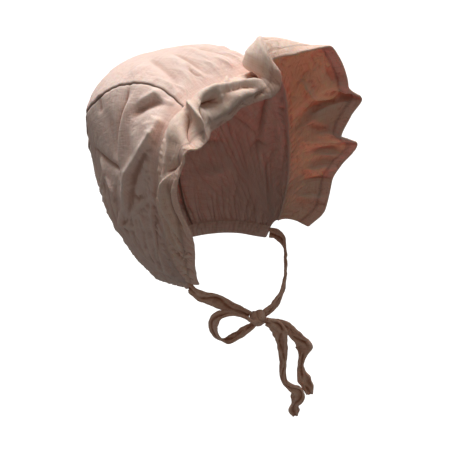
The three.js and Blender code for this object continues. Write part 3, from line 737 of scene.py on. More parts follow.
def shell(name: str, grid: Array, thickness: Array | float, marks: Array | None = None,
          normals: Array | None = None) -> bpy.types.Object:
    """A closed cloth of some thickness about a grid of points, with rounded edges.

    Args:
        name: The object's name.
        grid: The cloth's middle surface, as rows by columns by three.
        thickness: The cloth's thickness, one number or one for each point.
        marks: A number from 0 to 1 for each point, for hems and seams, which paints them darker.
        normals: The cloth's normals, where the grid's own won't do.

    Returns:
        The new object.
    """
    rows, columns = grid.shape[:2]
    if normals is None:
        normals = grid_normals(grid)
    half = (np.broadcast_to(thickness, (rows, columns)) / 2)[..., None]
    outer, inner = grid + normals * half, grid - normals * half
    u, v = run_along(grid, 0), run_along(grid, 1)
    u, v = np.broadcast_to(u.mean(axis=1)[:, None], u.shape), v - v[:, -1:] / 2
    mark = np.zeros((rows, columns)) if marks is None else marks
    hollow = hollows(grid, normals)
    cloth = np.stack((u * MM, v * MM, mark, hollow), axis=-1).reshape(-1, 4)
    back = cloth * (1, 1, 1, INSIDE_HOLLOW)
    count = rows * columns
    number = np.arange(count).reshape(rows, columns)
    corners = (number[:-1, :-1], number[:-1, 1:], number[1:, 1:], number[1:, :-1])
    quads = np.stack(corners, axis=-1).reshape(-1, 4)
    rim = np.concatenate((number[:-1, 0], number[-1, :-1], number[:0:-1, -1], number[0, :0:-1]))
    inward = np.concatenate((number[:-1, 1], number[-2, :-1], number[:0:-1, -2], number[1, :0:-1]))
    flat = grid.reshape(-1, 3)
    edge = flat[rim] + unit(flat[rim] - flat[inward]) * half.reshape(-1, 1)[rim]
    around = np.arange(len(rim))
    after = np.roll(rim, -1)
    middle, middle_after = 2 * count + around, 2 * count + np.roll(around, -1)
    first = np.stack((rim, after, middle_after, middle), axis=-1)
    second = np.stack((middle, middle_after, count + after, count + rim), axis=-1)
    faces = np.vstack((quads, count + quads[:, ::-1], first, second))
    points = np.vstack((outer.reshape(-1, 3), inner.reshape(-1, 3), edge))
    # the rim takes the ridge value: a painted highlight along the cloth's edges
    brink = cloth[rim] * (1, 1, 1, 0) + (0, 0, 0, RIM_HOLLOW)
    return make_mesh(name, points, faces, np.vstack((cloth, back, brink)))


def tube(name: str, rings: Array, ends: Array, cloth: Array, flip: bool = False) -> bpy.types.Object:
    """A closed tube through rings of points, ended by fans of triangles.

    Args:
        name: The object's name.
        rings: The points in millimetres, as rings by points round them by three.
        ends: The middle point of the first fan and of the last.
        cloth: What make_mesh takes, for the rings' points and then for the two ends.
        flip: Whether the rings run the other way round.

    Returns:
        The new object.
    """
    count, around = rings.shape[:2]
    number = np.arange(count * around).reshape(count, around)
    after = np.roll(number, -1, axis=1)
    first, last = np.full(around, count * around), np.full(around, count * around + 1)
    triangles = (
        (number[:-1], after[:-1], after[1:]),
        (number[:-1], after[1:], number[1:]),
        (after[0], number[0], first),
        (number[-1], after[-1], last),
    )
    faces = np.vstack([np.stack(corners, axis=-1).reshape(-1, 3) for corners in triangles])
    if flip:
        faces = faces[:, ::-1]
    return make_mesh(name, np.vstack((rings.reshape(-1, 3), ends)), faces, cloth)


@dataclass(frozen=True)
class LinenFinish:
    """Washed plain-weave linen in one tone, with painted shade in its valleys and a painted highlight on its
    ridges.

    Attributes:
        name: The material's name.
        colour: The cloth's colour, linear.
        shade: The colour of its slubs, linear.
        painted_valley_shade: The painted shade of its valleys, linear.
        depth: How strongly the valleys take that painted shade.
        thread: The distance from one thread to the next, in millimetres.
        see_through: How much light soaks through the cloth.
        soak: How far that light spreads, as a share of the common depth.
        creases: The depth of the finest crumple, in millimetres.
    """

    name: str
    colour: Colour
    shade: Colour
    painted_valley_shade: Colour = (0.38, 0.18, 0.11)
    depth: float = 0.55
    thread: float = 0.62
    see_through: float = 0.22
    soak: float = 1.0
    creases: float = 0.25

    def material(self) -> bpy.types.Material:
        """Makes the material.

        Returns:
            A material with the weave, the slubs, the finest crumple, painted shade in the valleys, a painted
            highlight on the ridges and a painted shadow along the seams.
        """
        material = bpy.data.materials.new(self.name)
        material.use_nodes = True
        nodes, links = material.node_tree.nodes, material.node_tree.links
        shader = nodes["Principled BSDF"]
        weave, bump = nodes.new("ShaderNodeGroup"), nodes.new("ShaderNodeBump")
        weave.node_tree = linen_group()
        set_inputs(shader, {
            "Roughness": 0.86,
            "Specular IOR Level": 0.25,
            "Sheen Weight": 0.22,
            "Sheen Roughness": 0.55,
            "Sheen Tint": (1.0, 0.93, 0.88, 1.0),
            "Subsurface Weight": self.see_through,
            "Subsurface Radius": (0.0028, 0.0010, 0.0005),
            "Subsurface Scale": self.soak,
        })
        set_inputs(weave, {
            "Cloth Colour": (*self.colour, 1),
            "Slub Colour": (*self.shade, 1),
            "Valley Shade Colour": (*self.painted_valley_shade, 1),
            "Valley Shade Share": self.depth,
            "Thread": self.thread * MM,
            "Crease Depth": self.creases * MM,
        })
        set_inputs(bump, {"Strength": 1.0, "Distance": 1.0})
        links.new(weave.outputs["Colour"], shader.inputs["Base Color"])
        links.new(weave.outputs["Roughness"], shader.inputs["Roughness"])
        links.new(weave.outputs["Height"], bump.inputs["Height"])
        links.new(bump.outputs["Normal"], shader.inputs["Normal"])
        return material


def set_inputs(node: bpy.types.Node, values: dict[str, float | tuple[float, ...]]) -> None:
    """Sets a node's named inputs."""
    for name, value in values.items():
        node.inputs[name].default_value = value


class GroupMaker:
    """Builds a shader node group from short calls."""

    def __init__(self, name: str) -> None:
        """Starts an empty group of that name."""
        self.tree = bpy.data.node_groups.new(name, "ShaderNodeTree")
        self.source = self.tree.nodes.new("NodeGroupInput")
        self.sink = self.tree.nodes.new("NodeGroupOutput")

    def socket_in(self, name: str, kind: str, value: float | tuple[float, ...]) -> bpy.types.NodeSocket:
        """Adds a named input.

        Args:
            name: The input's name.
            kind: Its type without the common first word, such as Float.
            value: The value it starts with.

        Returns:
            The socket inside the group that gives the input.
        """
        made = self.tree.interface.new_socket(name, in_out="INPUT", socket_type=f"NodeSocket{kind}")
        made.default_value = value
        return self.source.outputs[name]

    def socket_out(self, name: str, kind: str, link: bpy.types.NodeSocket) -> None:
        """Adds a named output that gives what the link gives."""
        self.tree.interface.new_socket(name, in_out="OUTPUT", socket_type=f"NodeSocket{kind}")
        self.tree.links.new(link, self.sink.inputs[name])

    def put(self, socket: bpy.types.NodeSocket, value: object) -> None:
        """Links a socket's value in, or sets it as a constant."""
        if isinstance(value, bpy.types.NodeSocket):
            self.tree.links.new(value, socket)
        else:
            socket.default_value = value

    def maths(self, operation: str, *values: object) -> bpy.types.NodeSocket:
        """A Math node.

        Args:
            operation: The node's operation.
            *values: Its numbers, or the sockets that give them.

        Returns:
            The node's result.
        """
        node = self.tree.nodes.new("ShaderNodeMath")
        node.operation = operation
        for socket, value in zip(node.inputs, values):
            self.put(socket, value)
        return node.outputs[0]

    def noise(self, vector: bpy.types.NodeSocket, scale: float, detail: float = 2.0,
              roughness: float = 0.5) -> bpy.types.NodeSocket:
        """A Noise Texture's value at a vector.

        Args:
            vector: Where to read the noise.
            scale: Noise cells in a unit of the vector.
            detail: How many finer layers it has.
            roughness: How strong they are.

        Returns:
            The noise, from 0 to 1.
        """
        node = self.tree.nodes.new("ShaderNodeTexNoise")
        node.inputs["Scale"].default_value = scale
        node.inputs["Detail"].default_value = detail
        node.inputs["Roughness"].default_value = roughness
        self.tree.links.new(vector, node.inputs["Vector"])
        return node.outputs["Fac"]

    def vector(self, x: object, y: object, z: object) -> bpy.types.NodeSocket:
        """A vector from three numbers or sockets."""
        node = self.tree.nodes.new("ShaderNodeCombineXYZ")
        for socket, value in zip(node.inputs, (x, y, z)):
            self.put(socket, value)
        return node.outputs[0]

    def mix(self, share: object, first: object, second: object) -> bpy.types.NodeSocket:
        """The first colour turned into the second by a share from 0 to 1."""
        node = self.tree.nodes.new("ShaderNodeMix")
        node.data_type = "RGBA"
        self.put(node.inputs[0], share)
        self.put(node.inputs[6], first)
        self.put(node.inputs[7], second)
        return node.outputs[2]

    def clamp(self, value: bpy.types.NodeSocket) -> bpy.types.NodeSocket:
        """The value held between 0 and 1."""
        node = self.tree.nodes.new("ShaderNodeClamp")
        self.tree.links.new(value, node.inputs[0])
        return node.outputs[0]

    def attribute(self, name: str, output: str) -> bpy.types.NodeSocket:
        """A mesh attribute, read at the named output."""
        node = self.tree.nodes.new("ShaderNodeAttribute")
        node.attribute_name = name
        return node.outputs[output]

    def slub(self, along: bpy.types.NodeSocket, across: bpy.types.NodeSocket,
             cells: tuple[float, float], shift: float) -> bpy.types.NodeSocket:
        """Noise drawn out along one way of the threads.

        Args:
            along: The place along the cloth.
            across: The place across it.
            cells: Noise cells in a metre along the cloth and across it.
            shift: What keeps one noise apart from another.

        Returns:
            The noise, from 0 to 1.
        """
        places = (self.maths("MULTIPLY", place, count) for place, count in zip((along, across), cells))
        return self.noise(self.vector(*places, shift), 1.0)


# where the painted shade of valleys and the painted highlight of ridges start, and how strongly ridges take
# that highlight
VALLEY_START, RIDGE_SHARE, RIDGE_START = -0.04, -0.38, -0.06
# noise cells in a metre of cloth
SLUB_FINE, SLUB_LONG, BLOTCH_CELLS, CRUMPLE_CELLS = 1500.0, 60.0, 55.0, 260.0
# how much the slub colour comes in with slubs, with blotches and between the threads
TINT_START, SLUB_TINT, BLOTCH_TINT, GAP_TINT = 0.36, 4.0, 0.9, 0.18
# relief of the weave, in metres
OVER_SHARE, THREAD_HEIGHT, SLUB_HEIGHT = 0.35, 0.00009, 0.00036


def linen_group() -> bpy.types.NodeTree:
    """The linen effect: threads over and under, slubs, soft stains of wear, a fine crumple, painted shade in
    valleys, a painted highlight on ridges and a painted shadow along seams.

    Returns:
        The node group, made the first time and shared after that.
    """
    name = "linen"
    if name in bpy.data.node_groups:
        return bpy.data.node_groups[name]
    maker = GroupMaker(name)
    colour = maker.socket_in("Cloth Colour", "Color", (0.7, 0.5, 0.4, 1))
    slub_colour = maker.socket_in("Slub Colour", "Color", (0.6, 0.4, 0.3, 1))
    thread = maker.socket_in("Thread", "Float", 0.0006)
    depth = maker.socket_in("Crease Depth", "Float", 0.0002)
    valley_shade_colour = maker.socket_in("Valley Shade Colour", "Color", (0.42, 0.20, 0.12, 1))
    valley_shade_share = maker.socket_in("Valley Shade Share", "Float", 0.55)
    ridge_highlight_colour = maker.socket_in("Ridge Highlight Colour", "Color", (0.98, 0.78, 0.69, 1))
    seam_shadow_colour = maker.socket_in("Seam Shadow Colour", "Color", (0.20, 0.10, 0.06, 1))
    # painted light from how hollow the cloth is: shade in its valleys, and a highlight on its ridges and rims
    # that also stands for lighter pressed creases
    bend = maker.attribute("hollow", "Fac")
    valley = maker.clamp(maker.maths("MULTIPLY_ADD", bend, valley_shade_share, VALLEY_START))
    ridge = maker.clamp(maker.maths("MULTIPLY_ADD", bend, RIDGE_SHARE, RIDGE_START))
    place = maker.attribute("cloth", "Vector")
    split = maker.tree.nodes.new("ShaderNodeSeparateXYZ")
    maker.tree.links.new(place, split.inputs[0])
    along, across, mark = split.outputs
    turns = maker.maths("DIVIDE", math.pi, thread)
    warp = maker.maths("SINE", maker.maths("MULTIPLY", across, turns))
    weft = maker.maths("SINE", maker.maths("MULTIPLY", along, turns))
    over = maker.maths("MULTIPLY", warp, weft)
    threads = maker.maths("ADD", maker.maths("ABSOLUTE", warp), maker.maths("ABSOLUTE", weft))
    woven = maker.maths("MULTIPLY_ADD", over, OVER_SHARE, threads)
    slub_weft = maker.slub(along, across, (SLUB_FINE, SLUB_LONG), 0.0)
    slub_warp = maker.slub(along, across, (SLUB_LONG, SLUB_FINE), 7.0)
    slubs = maker.maths("MULTIPLY", maker.maths("ADD", slub_weft, slub_warp), 0.5)
    blotch = maker.noise(place, BLOTCH_CELLS, 4.0, 0.6)
    crumple = maker.noise(place, CRUMPLE_CELLS, 3.0, 0.55)
    ridged = maker.maths("ABSOLUTE", maker.maths("SUBTRACT", crumple, 0.5))
    tint = maker.maths("MULTIPLY_ADD", maker.maths("SUBTRACT", slubs, 0.5), SLUB_TINT, TINT_START)
    tint = maker.maths("MULTIPLY_ADD", maker.maths("SUBTRACT", blotch, 0.5), BLOTCH_TINT, tint)
    tint = maker.maths("MULTIPLY_ADD", maker.maths("SUBTRACT", 1.2, threads), GAP_TINT, tint)
    woven_colour = maker.mix(maker.clamp(tint), colour, slub_colour)
    # paint the highlight on the ridges, then the shade in the valleys
    folded = maker.mix(ridge, woven_colour, ridge_highlight_colour)
    folded = maker.mix(valley, folded, valley_shade_colour)
    height = maker.maths("MULTIPLY", woven, THREAD_HEIGHT)
    height = maker.maths("MULTIPLY_ADD", slubs, SLUB_HEIGHT, height)
    creased = maker.maths("MULTIPLY", maker.maths("MULTIPLY", ridged, -4.0), depth)
    # the seams' painted shadow, whose colour also darkens the brim's stitch line
    maker.socket_out("Colour", "Color", maker.mix(mark, folded, seam_shadow_colour))
    maker.socket_out("Roughness", "Float", maker.maths("MULTIPLY_ADD", blotch, 0.16, 0.78))
    maker.socket_out("Height", "Float", maker.maths("ADD", height, creased))
    return maker.tree


def dress(piece: bpy.types.Object, material: bpy.types.Material, slot: str, *nodes: str) -> bpy.types.Object:
    """Gives a piece its material and its place in the frame.

    Args:
        piece: The piece.
        material: Its finish.
        slot: The record's material slot; not used.
        *nodes: The frame's nodes that it stands for.

    Returns:
        The same piece.
    """
    piece.data.materials.append(material)
    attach(piece, ROOT)
    if nodes:
        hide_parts(*nodes)
    log.info("%s: %d faces", piece.name, len(piece.data.polygons))
    return piece


@dataclass
class Crown:
    """The crown, in flat sections that fan out from the line through its two lower corners.

    The fields that end in angle, and smooth_back, fall_from and fall_to, are degrees back from the
    face. smooth_across, fall_end and calm_edge are places across, from 0 to 1 at the panels' edges.
    """

    corner_half: float = 52
    corner_y: float = -30
    corner_z: float = -147
    corner_radius: float = 5
    corner_rounding: float = 3
    face_angle: float = 5
    neck_angle: float = 100
    thickness: float = 0.9
    section_points: int = 120
    steps_back: int = 300
    centre_steps: int = 125
    side_steps: int = 155
    seam_gap: float = 0.25
    # the width of the painted shadow along the centre panel's seams
    seam_line: float = 0.5
    fall: float = 7.0
    fall_end: float = 0.66
    fall_from: tuple[float, float] = (7, 20)
    fall_to: tuple[float, float] = (46, 66)
    pleats: int = 66
    pleat_height: float = 2.2
    pleat_reach: float = 42
    pleat_rounding: float = 0.09
    pleat_fall: float = 1.6
    neck_hold: float = 12
    neck_hold_share: float = 0.85
    calm_edge: float = 0.06
    calm_angle: float = 9
    rows: tuple[CrownRow, ...] = CROWN_ROWS
    folds: tuple[Fold, ...] = CROWN_FOLDS
    fans: tuple[tuple, ...] = CROWN_FANS
    crumple: Crumple = Crumple(seed=5, height=0.75, spacing=15)
    fine: Crumple = Crumple(seed=8, height=0.40, spacing=6.5)
    smooth_share: float = 0.18
    smooth_back: tuple[float, float] = (30, 52)
    smooth_across: tuple[float, float] = (0.42, 0.62)
    groove: float = -1.1
    groove_widths: tuple[float, float] = (1.1, 0.45)
    allowance: float = 0.25
    allowance_width: float = 8
    pucker_height: float = 1.0
    # how strongly the seams take their painted shadow
    seam_shadow: float = 0.9

    def column(self, name: str, angle: Array | float) -> Array:
        """A named column of the rows, read smoothly at an angle."""
        return through([row.angle for row in self.rows], [getattr(row, name) for row in self.rows], angle)

    def section(self, angle: float) -> tuple[Array, Array]:
        """One section of the bare crown.

        Args:
            angle: How far the section leans back.

        Returns:
            The sideways places and the reach above the corners' line, from right to left.
        """
        half, height = float(self.column("half_width", angle)), float(self.column("height", angle))
        widest, power = float(self.column("widest", angle)), 2 / float(self.column("square", angle))
        low_reach = np.linspace(self.corner_radius, widest, self.section_points // 3, endpoint=False)
        low = half - (half - self.corner_half) * (1 - low_reach / widest)**self.corner_rounding
        t = np.linspace(0, math.pi / 2, self.section_points + 1)
        side = np.concatenate((low, half * np.maximum(np.cos(t), 0)**power))
        reach = np.concatenate((low_reach, widest + (height - widest) * np.sin(t)**power))
        return np.concatenate((-side, side[-2::-1])), np.concatenate((reach, reach[-2::-1]))

    def length(self, angle: float) -> float:
        """The length of the section at an angle."""
        side, reach = self.section(angle)
        return float(np.hypot(np.diff(side), np.diff(reach)).sum())

    def bare(self, angles: Array, across: Array) -> Array:
        """Points of the smooth crown.

        Args:
            angles: The angle of each row.
            across: The place across each row, as rows by columns, from -1 to 1.

        Returns:
            The points, as rows by columns by three.
        """
        points = np.empty(across.shape + (3,))
        for i, angle in enumerate(angles):
            side, reach = self.section(float(angle))
            run = np.concatenate(([0.0], np.cumsum(np.hypot(np.diff(side), np.diff(reach)))))
            wanted = (across[i] + 1) / 2 * run[-1]
            up = np.interp(wanted, run, reach)
            lean = math.radians(float(angle))
            points[i, :, 0] = np.interp(wanted, run, side)
            points[i, :, 1] = self.corner_y + up * math.sin(lean)
            points[i, :, 2] = self.corner_z + up * math.cos(lean)
        return points

    def lengths(self, angles: Array) -> Array:
        """The length of the section at each angle."""
        return np.array([self.length(float(angle)) for angle in angles])

    def seam_across(self, angles: Array) -> Array:
        """How far across the centre panel's seams lie at each angle."""
        return 2 * self.column("seam", angles) / self.lengths(angles)

    def from_seam(self, angles: Array, across: Array, seams: Array) -> Array:
        """How far each place lies beyond the centre panel's seams, in millimetres.

        Args:
            angles: The angle of each row.
            across: The place across each row.
            seams: The place across of the left seam in each row.

        Returns:
            The distances, as rows by columns, below zero on the centre panel.
        """
        return (np.abs(across) - seams[:, None]) * self.lengths(angles)[:, None] / 2

    def side_fall(self, angles: Array, across: Array, seams: Array) -> Array:
        """How far the side panels fall in below their seams, where they hang flat.

        Args:
            angles: The angle of each row.
            across: The place across each row.
            seams: The place across of the left seam in each row.

        Returns:
            The lift in millimetres, below zero, as rows by columns.
        """
        share = np.clip((np.abs(across) - seams[:, None]) / (self.fall_end - seams[:, None]), 0, 1)
        back = smooth_step(angles, *self.fall_from) * smooth_step(-angles, -self.fall_to[1], -self.fall_to[0])
        return -self.fall * back[:, None] * np.sin(math.pi * share**0.8) ** 1.2 * (1 - 0.3 * share)

    def neck_pleats(self, angles: Array, across: Array) -> Array:
        """How far the pleats drawn up by the neck casing lift the cloth.

        Args:
            angles: The angle of each row.
            across: The place across each row.

        Returns:
            The lift in millimetres, as rows by columns.
        """
        rng = np.random.default_rng(21)
        above = self.neck_angle - angles[:, None] + 0 * across
        lift = np.zeros(across.shape)
        wander = Ripple(77)
        for pleat in range(self.pleats):
            middle = -1 + 2 * (pleat + rng.uniform(0.25, 0.75)) / self.pleats
            reach = self.pleat_reach * rng.uniform(0.35, 1.25)
            width = rng.uniform(0.55, 1.0) / self.pleats
            height = self.pleat_height * rng.uniform(0.6, 1.3)
            drift = rng.uniform(-0.0009, 0.0009) * above
            drift = drift + 0.01 * wander.at(above / 14, 0 * above + pleat)
            away = rounded((across - middle - drift) / width, self.pleat_rounding)
            crest = np.exp(-away * self.pleat_fall)
            lift += height * crest * smooth_step(reach - above, 0, reach)
        return lift

    def seam_pinch(self, angles: Array, across: Array, seams: Array) -> Array:
        """How the two long seams pinch and pucker the cloth.

        Args:
            angles: The angle of each row.
            across: The place across each row.
            seams: The place across of the left seam in each row.

        Returns:
            The lift in millimetres, as rows by columns.
        """
        away = self.from_seam(angles, across, seams)
        outer, inner = self.groove_widths
        out, within = np.maximum(away, 0.0) / outer, np.minimum(away, 0.0) / inner
        groove = self.groove * np.exp(-out**2 - within**2)
        low, high = -self.allowance_width - 0.5, -self.allowance_width + 0.5
        allowance = self.allowance * smooth_step(away, low, high) * smooth_step(-away, 0.2, 1.6)
        along = angles[:, None] * 2.4 + 0 * across
        ripple = Ripple(33).at(along / 5.5, np.sign(across) * 3 + away / 30)
        pucker = ripple * np.exp(-(away / self.allowance_width)**2)
        return groove + allowance + self.pucker_height * pucker

    def surface(self, angles: Array, across: Array, seams: Array) -> Array:
        """The crown's cloth with its folds.

        Args:
            angles: The angle of each row.
            across: The place across each row.
            seams: The place across of the left seam in each row.

        Returns:
            The points, as rows by columns by three.
        """
        points = self.bare(angles, across)
        normals = grid_normals(points)
        lift = np.zeros(across.shape)
        fine = [fold for seed, sizes in enumerate(self.fans) for fold in fan(*sizes, seed=seed)]
        for fold in (*self.folds, *fine):
            places = curve_through(np.array(fold.places), LINE_STEPS)
            line = self.bare(places[:, 0], places[:, 1:])[:, 0]
            lift += fold_lift(points, fold, line)
        along, over = run_along(points, 0), across * self.lengths(angles)[:, None] / 2
        creased = np.maximum(smooth_step(angles[:, None], *self.smooth_back),
                             smooth_step(np.abs(across), *self.smooth_across))
        creased = self.smooth_share + (1 - self.smooth_share) * creased
        lift += (self.crumple.lift(along, over) + self.fine.lift(along, over)) * creased
        calm = smooth_step(1 - np.abs(across), 0.0, self.calm_edge)
        calm = calm * smooth_step(angles[:, None], self.face_angle, self.calm_angle)
        near_neck = smooth_step(angles[:, None], self.neck_angle - self.neck_hold, self.neck_angle)
        lift = lift * calm * (1 - self.neck_hold_share * near_neck)
        held = smooth_step(self.neck_angle - angles[:, None], -1.5, 3)
        lift += self.neck_pleats(angles, across) * smooth_step(1 - np.abs(across), 0.0, 0.03) * held
        lift += self.seam_pinch(angles, across, seams) * smooth_step(angles[:, None], self.face_angle, 7)
        lift += self.side_fall(angles, across, seams)
        lean = math.radians(self.neck_angle)
        down = np.array([0.0, math.cos(lean), -math.sin(lean)])
        to_neck = smooth_step(angles[:, None], self.neck_angle - 30, self.neck_angle)[..., None]
        normals = normals - to_neck * (normals @ down)[..., None] * down
        return points + normals * lift[..., None]

    def panel(self, name: str, start: Array, end: Array, steps: int,
              finish: bpy.types.Material) -> bpy.types.Object:
        """One panel of the crown.

        Args:
            name: The panel's name.
            start: The place across of its right edge at each angle.
            end: The place across of its left edge at each angle.
            steps: The steps from one edge to the other.
            finish: Its material.

        Returns:
            The dressed panel.
        """
        angles = self.angles()
        share = np.linspace(0, 1, steps + 1)[None, :]
        across = start[:, None] * (1 - share) + end[:, None] * share
        seams = self.seam_across(angles)
        grid = self.surface(angles, across, seams)
        # a narrow painted shadow along each of the centre panel's seams
        line = self.seam_shadow * np.exp(-(self.from_seam(angles, across, seams) / self.seam_line)**2)
        return dress(shell(name, grid, self.thickness, line), finish, "crown_linen", name)

    def angles(self) -> Array:
        """The angles of the mesh's rows, in even steps from the face to the neck."""
        return np.linspace(self.face_angle, self.neck_angle, self.steps_back + 1)

    def build(self, finish: bpy.types.Material) -> None:
        angles = self.angles()
        seams = self.seam_across(angles)
        gap = np.full(len(angles), self.seam_gap / 200)
        ones = np.ones(len(angles))
        centre = self.panel("crown_panel", -seams + gap, seams - gap, self.centre_steps, finish)
        right = self.panel("side_panel_right", -ones, -seams - gap, self.side_steps, finish)
        left = self.panel("side_panel_left", seams + gap, ones, self.side_steps, finish)
        centre.name, right.name, left.name = "centre_cloth", "right_side_cloth", "left_side_cloth"


@dataclass
class Brim:
    """The brim, from its gathered seam over a ridge to its turned hem."""

    crown: Crown
    gap: float = 0.3
    steps_along: int = 720
    steps_out: int = 66
    thickness: float = 0.75
    hem_width: float = 8.5
    hem_thickness: float = 0.7
    puckers: int = 110
    pucker_height: float = 0.8
    pucker_reach: tuple[float, float] = (5, 17)
    rows: tuple[BrimRow, ...] = BRIM_ROWS
    folds: tuple[Fold, ...] = BRIM_FOLDS
    crumple: Crumple = Crumple(seed=15, height=0.45, spacing=14)
    fine: Crumple = Crumple(seed=18, height=0.42, spacing=5.5)
    stitch_in: float = 1.0
    stitch_width: float = 0.7
    stitch_depth: float = 0.45
    # how strongly the hem's stitch line is darkened with the seams' shadow colour
    stitch_mark: float = 0.25

    def base(self, along: Array, out: Array) -> Array:
        """The brim without its small folds.

        Args:
            along: Places along the seam, from 0 to 1.
            out: Places from the seam, 0, to the hem, 1.

        Returns:
            The points, as along by out by three.
        """
        crown = self.crown
        angle = np.array([crown.face_angle])
        lean = math.radians(crown.face_angle)
        forward = np.array([0.0, -math.cos(lean), math.sin(lean)])
        across = 2 * along - 1
        seam = crown.bare(angle, across[None, :])[0]
        before = crown.bare(angle, np.maximum(across - 0.02, -1)[None, :])[0]
        beyond = crown.bare(angle, np.minimum(across + 0.02, 1)[None, :])[0]
        sideways = unit(beyond - before)
        outward = unit(np.cross(forward, sideways))
        table = [row.along for row in self.rows]
        points = (seam + forward * self.gap)[:, None, :] + np.zeros((1, len(out), 1))
        to_ridge, to_hem = 4 * out * (1 - out), out * (2 * out - 1)
        for k, axis in enumerate((np.broadcast_to(forward, seam.shape), outward, sideways)):
            ridge = through(table, [row.ridge[k] for row in self.rows], 100 * along)
            hem = through(table, [row.hem[k] for row in self.rows], 100 * along)
            reach = ridge[:, None] * to_ridge + hem[:, None] * to_hem
            points = points + reach[..., None] * axis[:, None, :]
        return points

    def gathers(self, along: Array, out: Array, run: Array) -> Array:
        """How far the gathers at the seam lift the cloth.

        Args:
            along: Places along the seam.
            out: Places out from it.
            run: The distance of each point from the seam, in millimetres.

        Returns:
            The lift in millimetres, as along by out.
        """
        rng = np.random.default_rng(41)
        lift = np.zeros(run.shape)
        for pucker in range(self.puckers):
            middle = (pucker + rng.uniform(0.2, 0.8)) / self.puckers
            width = rng.uniform(0.30, 0.55) / self.puckers
            reach = rng.uniform(*self.pucker_reach)
            drift = rng.uniform(-0.00025, 0.00025) * run
            away = (along[:, None] - middle - drift) / (width * (1 + run / 25))
            height = self.pucker_height * rng.uniform(0.5, 1.2)
            lift += height * np.exp(-away**2) * smooth_step(reach - run, 0, reach)
        return lift * smooth_step(run, -0.5, 3)

    def build(self, finish: bpy.types.Material) -> None:
        along = np.linspace(0, 1, self.steps_along + 1)
        out = np.linspace(0, 1, self.steps_out + 1)
        grid = self.base(along, out)
        normals = grid_normals(grid)
        run = run_along(grid, 1)
        lift = self.gathers(along, out, run)
        for fold in self.folds:
            places = curve_through(np.array(fold.places), LINE_STEPS)
            line = np.array([self.base(np.array([a / 100]), np.array([o]))[0, 0] for a, o in places])
            lift += fold_lift(grid, fold, line)
        length = np.broadcast_to(run_along(grid[:, -1], 0)[:, None], run.shape)
        calm = smooth_step(run, 0, 6)
        lift += (self.crumple.lift(length, run) + self.fine.lift(length, run)) * calm
        grid = grid + normals * lift[..., None]
        from_hem = run[:, -1:] - run
        hem = smooth_step(self.hem_width - from_hem, -0.3, 0.5)
        stitch = np.exp(-((from_hem - self.hem_width + self.stitch_in) / self.stitch_width)**2)
        thickness = self.thickness + self.hem_thickness * hem - self.stitch_depth * stitch
        piece = shell("brim_cloth", grid, thickness, self.stitch_mark * stitch)
        dress(piece, finish, "brim_linen", "brim")


@dataclass
class NeckCasing:
    """The gathered casing at the neck, which the ties run out of."""

    crown: Crown
    width: float = 9
    draw_in: float = 0.5
    neck_y: float = -8
    tuck: float = 0.8
    thickness: float = 2.4
    edge_thickness: float = 0.9
    pleat_height: float = 0.75
    wave_height: float = 0.5
    stitch_drop: float = 0.16
    stitch_depth: float = 0.5
    steps_round: int = 420
    steps_down: int = 22

    def build(self, finish: bpy.types.Material) -> None:
        """Makes the casing."""
        crown = self.crown
        across = np.linspace(-1, 1, self.steps_round + 1)
        lean = math.radians(crown.neck_angle)
        down = np.array([0.0, math.cos(lean), -math.sin(lean)])
        top = crown.bare(np.array([crown.neck_angle]), across[None, :])[0] - down * self.tuck
        inward = np.stack((-top[:, 0], self.neck_y - top[:, 1], 0 * across), axis=-1)
        hang = unit(np.array([0.0, 0.0, -1.0]) + unit(inward) * self.draw_in)
        drop = np.linspace(0, 1, self.steps_down + 1)
        grid = top[None, :, :] + hang[None, :, :] * (drop * (self.width + self.tuck))[:, None, None]
        normals = grid_normals(grid)
        run = run_along(top, 0)[None, :]
        ripple = Ripple(91)
        pleat = ripple.at(drop[:, None] * 1.3, run / 2.6)
        slow = ripple.at(drop[:, None] * 0.6, run / 9 + 40)
        lift = self.pleat_height * pleat + self.wave_height * slow
        channel = np.sin(math.pi * drop[:, None]) ** 0.6
        stitch = np.exp(-((drop[:, None] - self.stitch_drop) / 0.07)**2)
        thickness = self.edge_thickness + (self.thickness - self.edge_thickness) * channel
        thickness = thickness - self.stitch_depth * stitch + 0 * run
        grid = grid + normals * lift[..., None]
        dress(shell("neck_casing", grid, thickness), finish, "casing_linen", "neck_band")


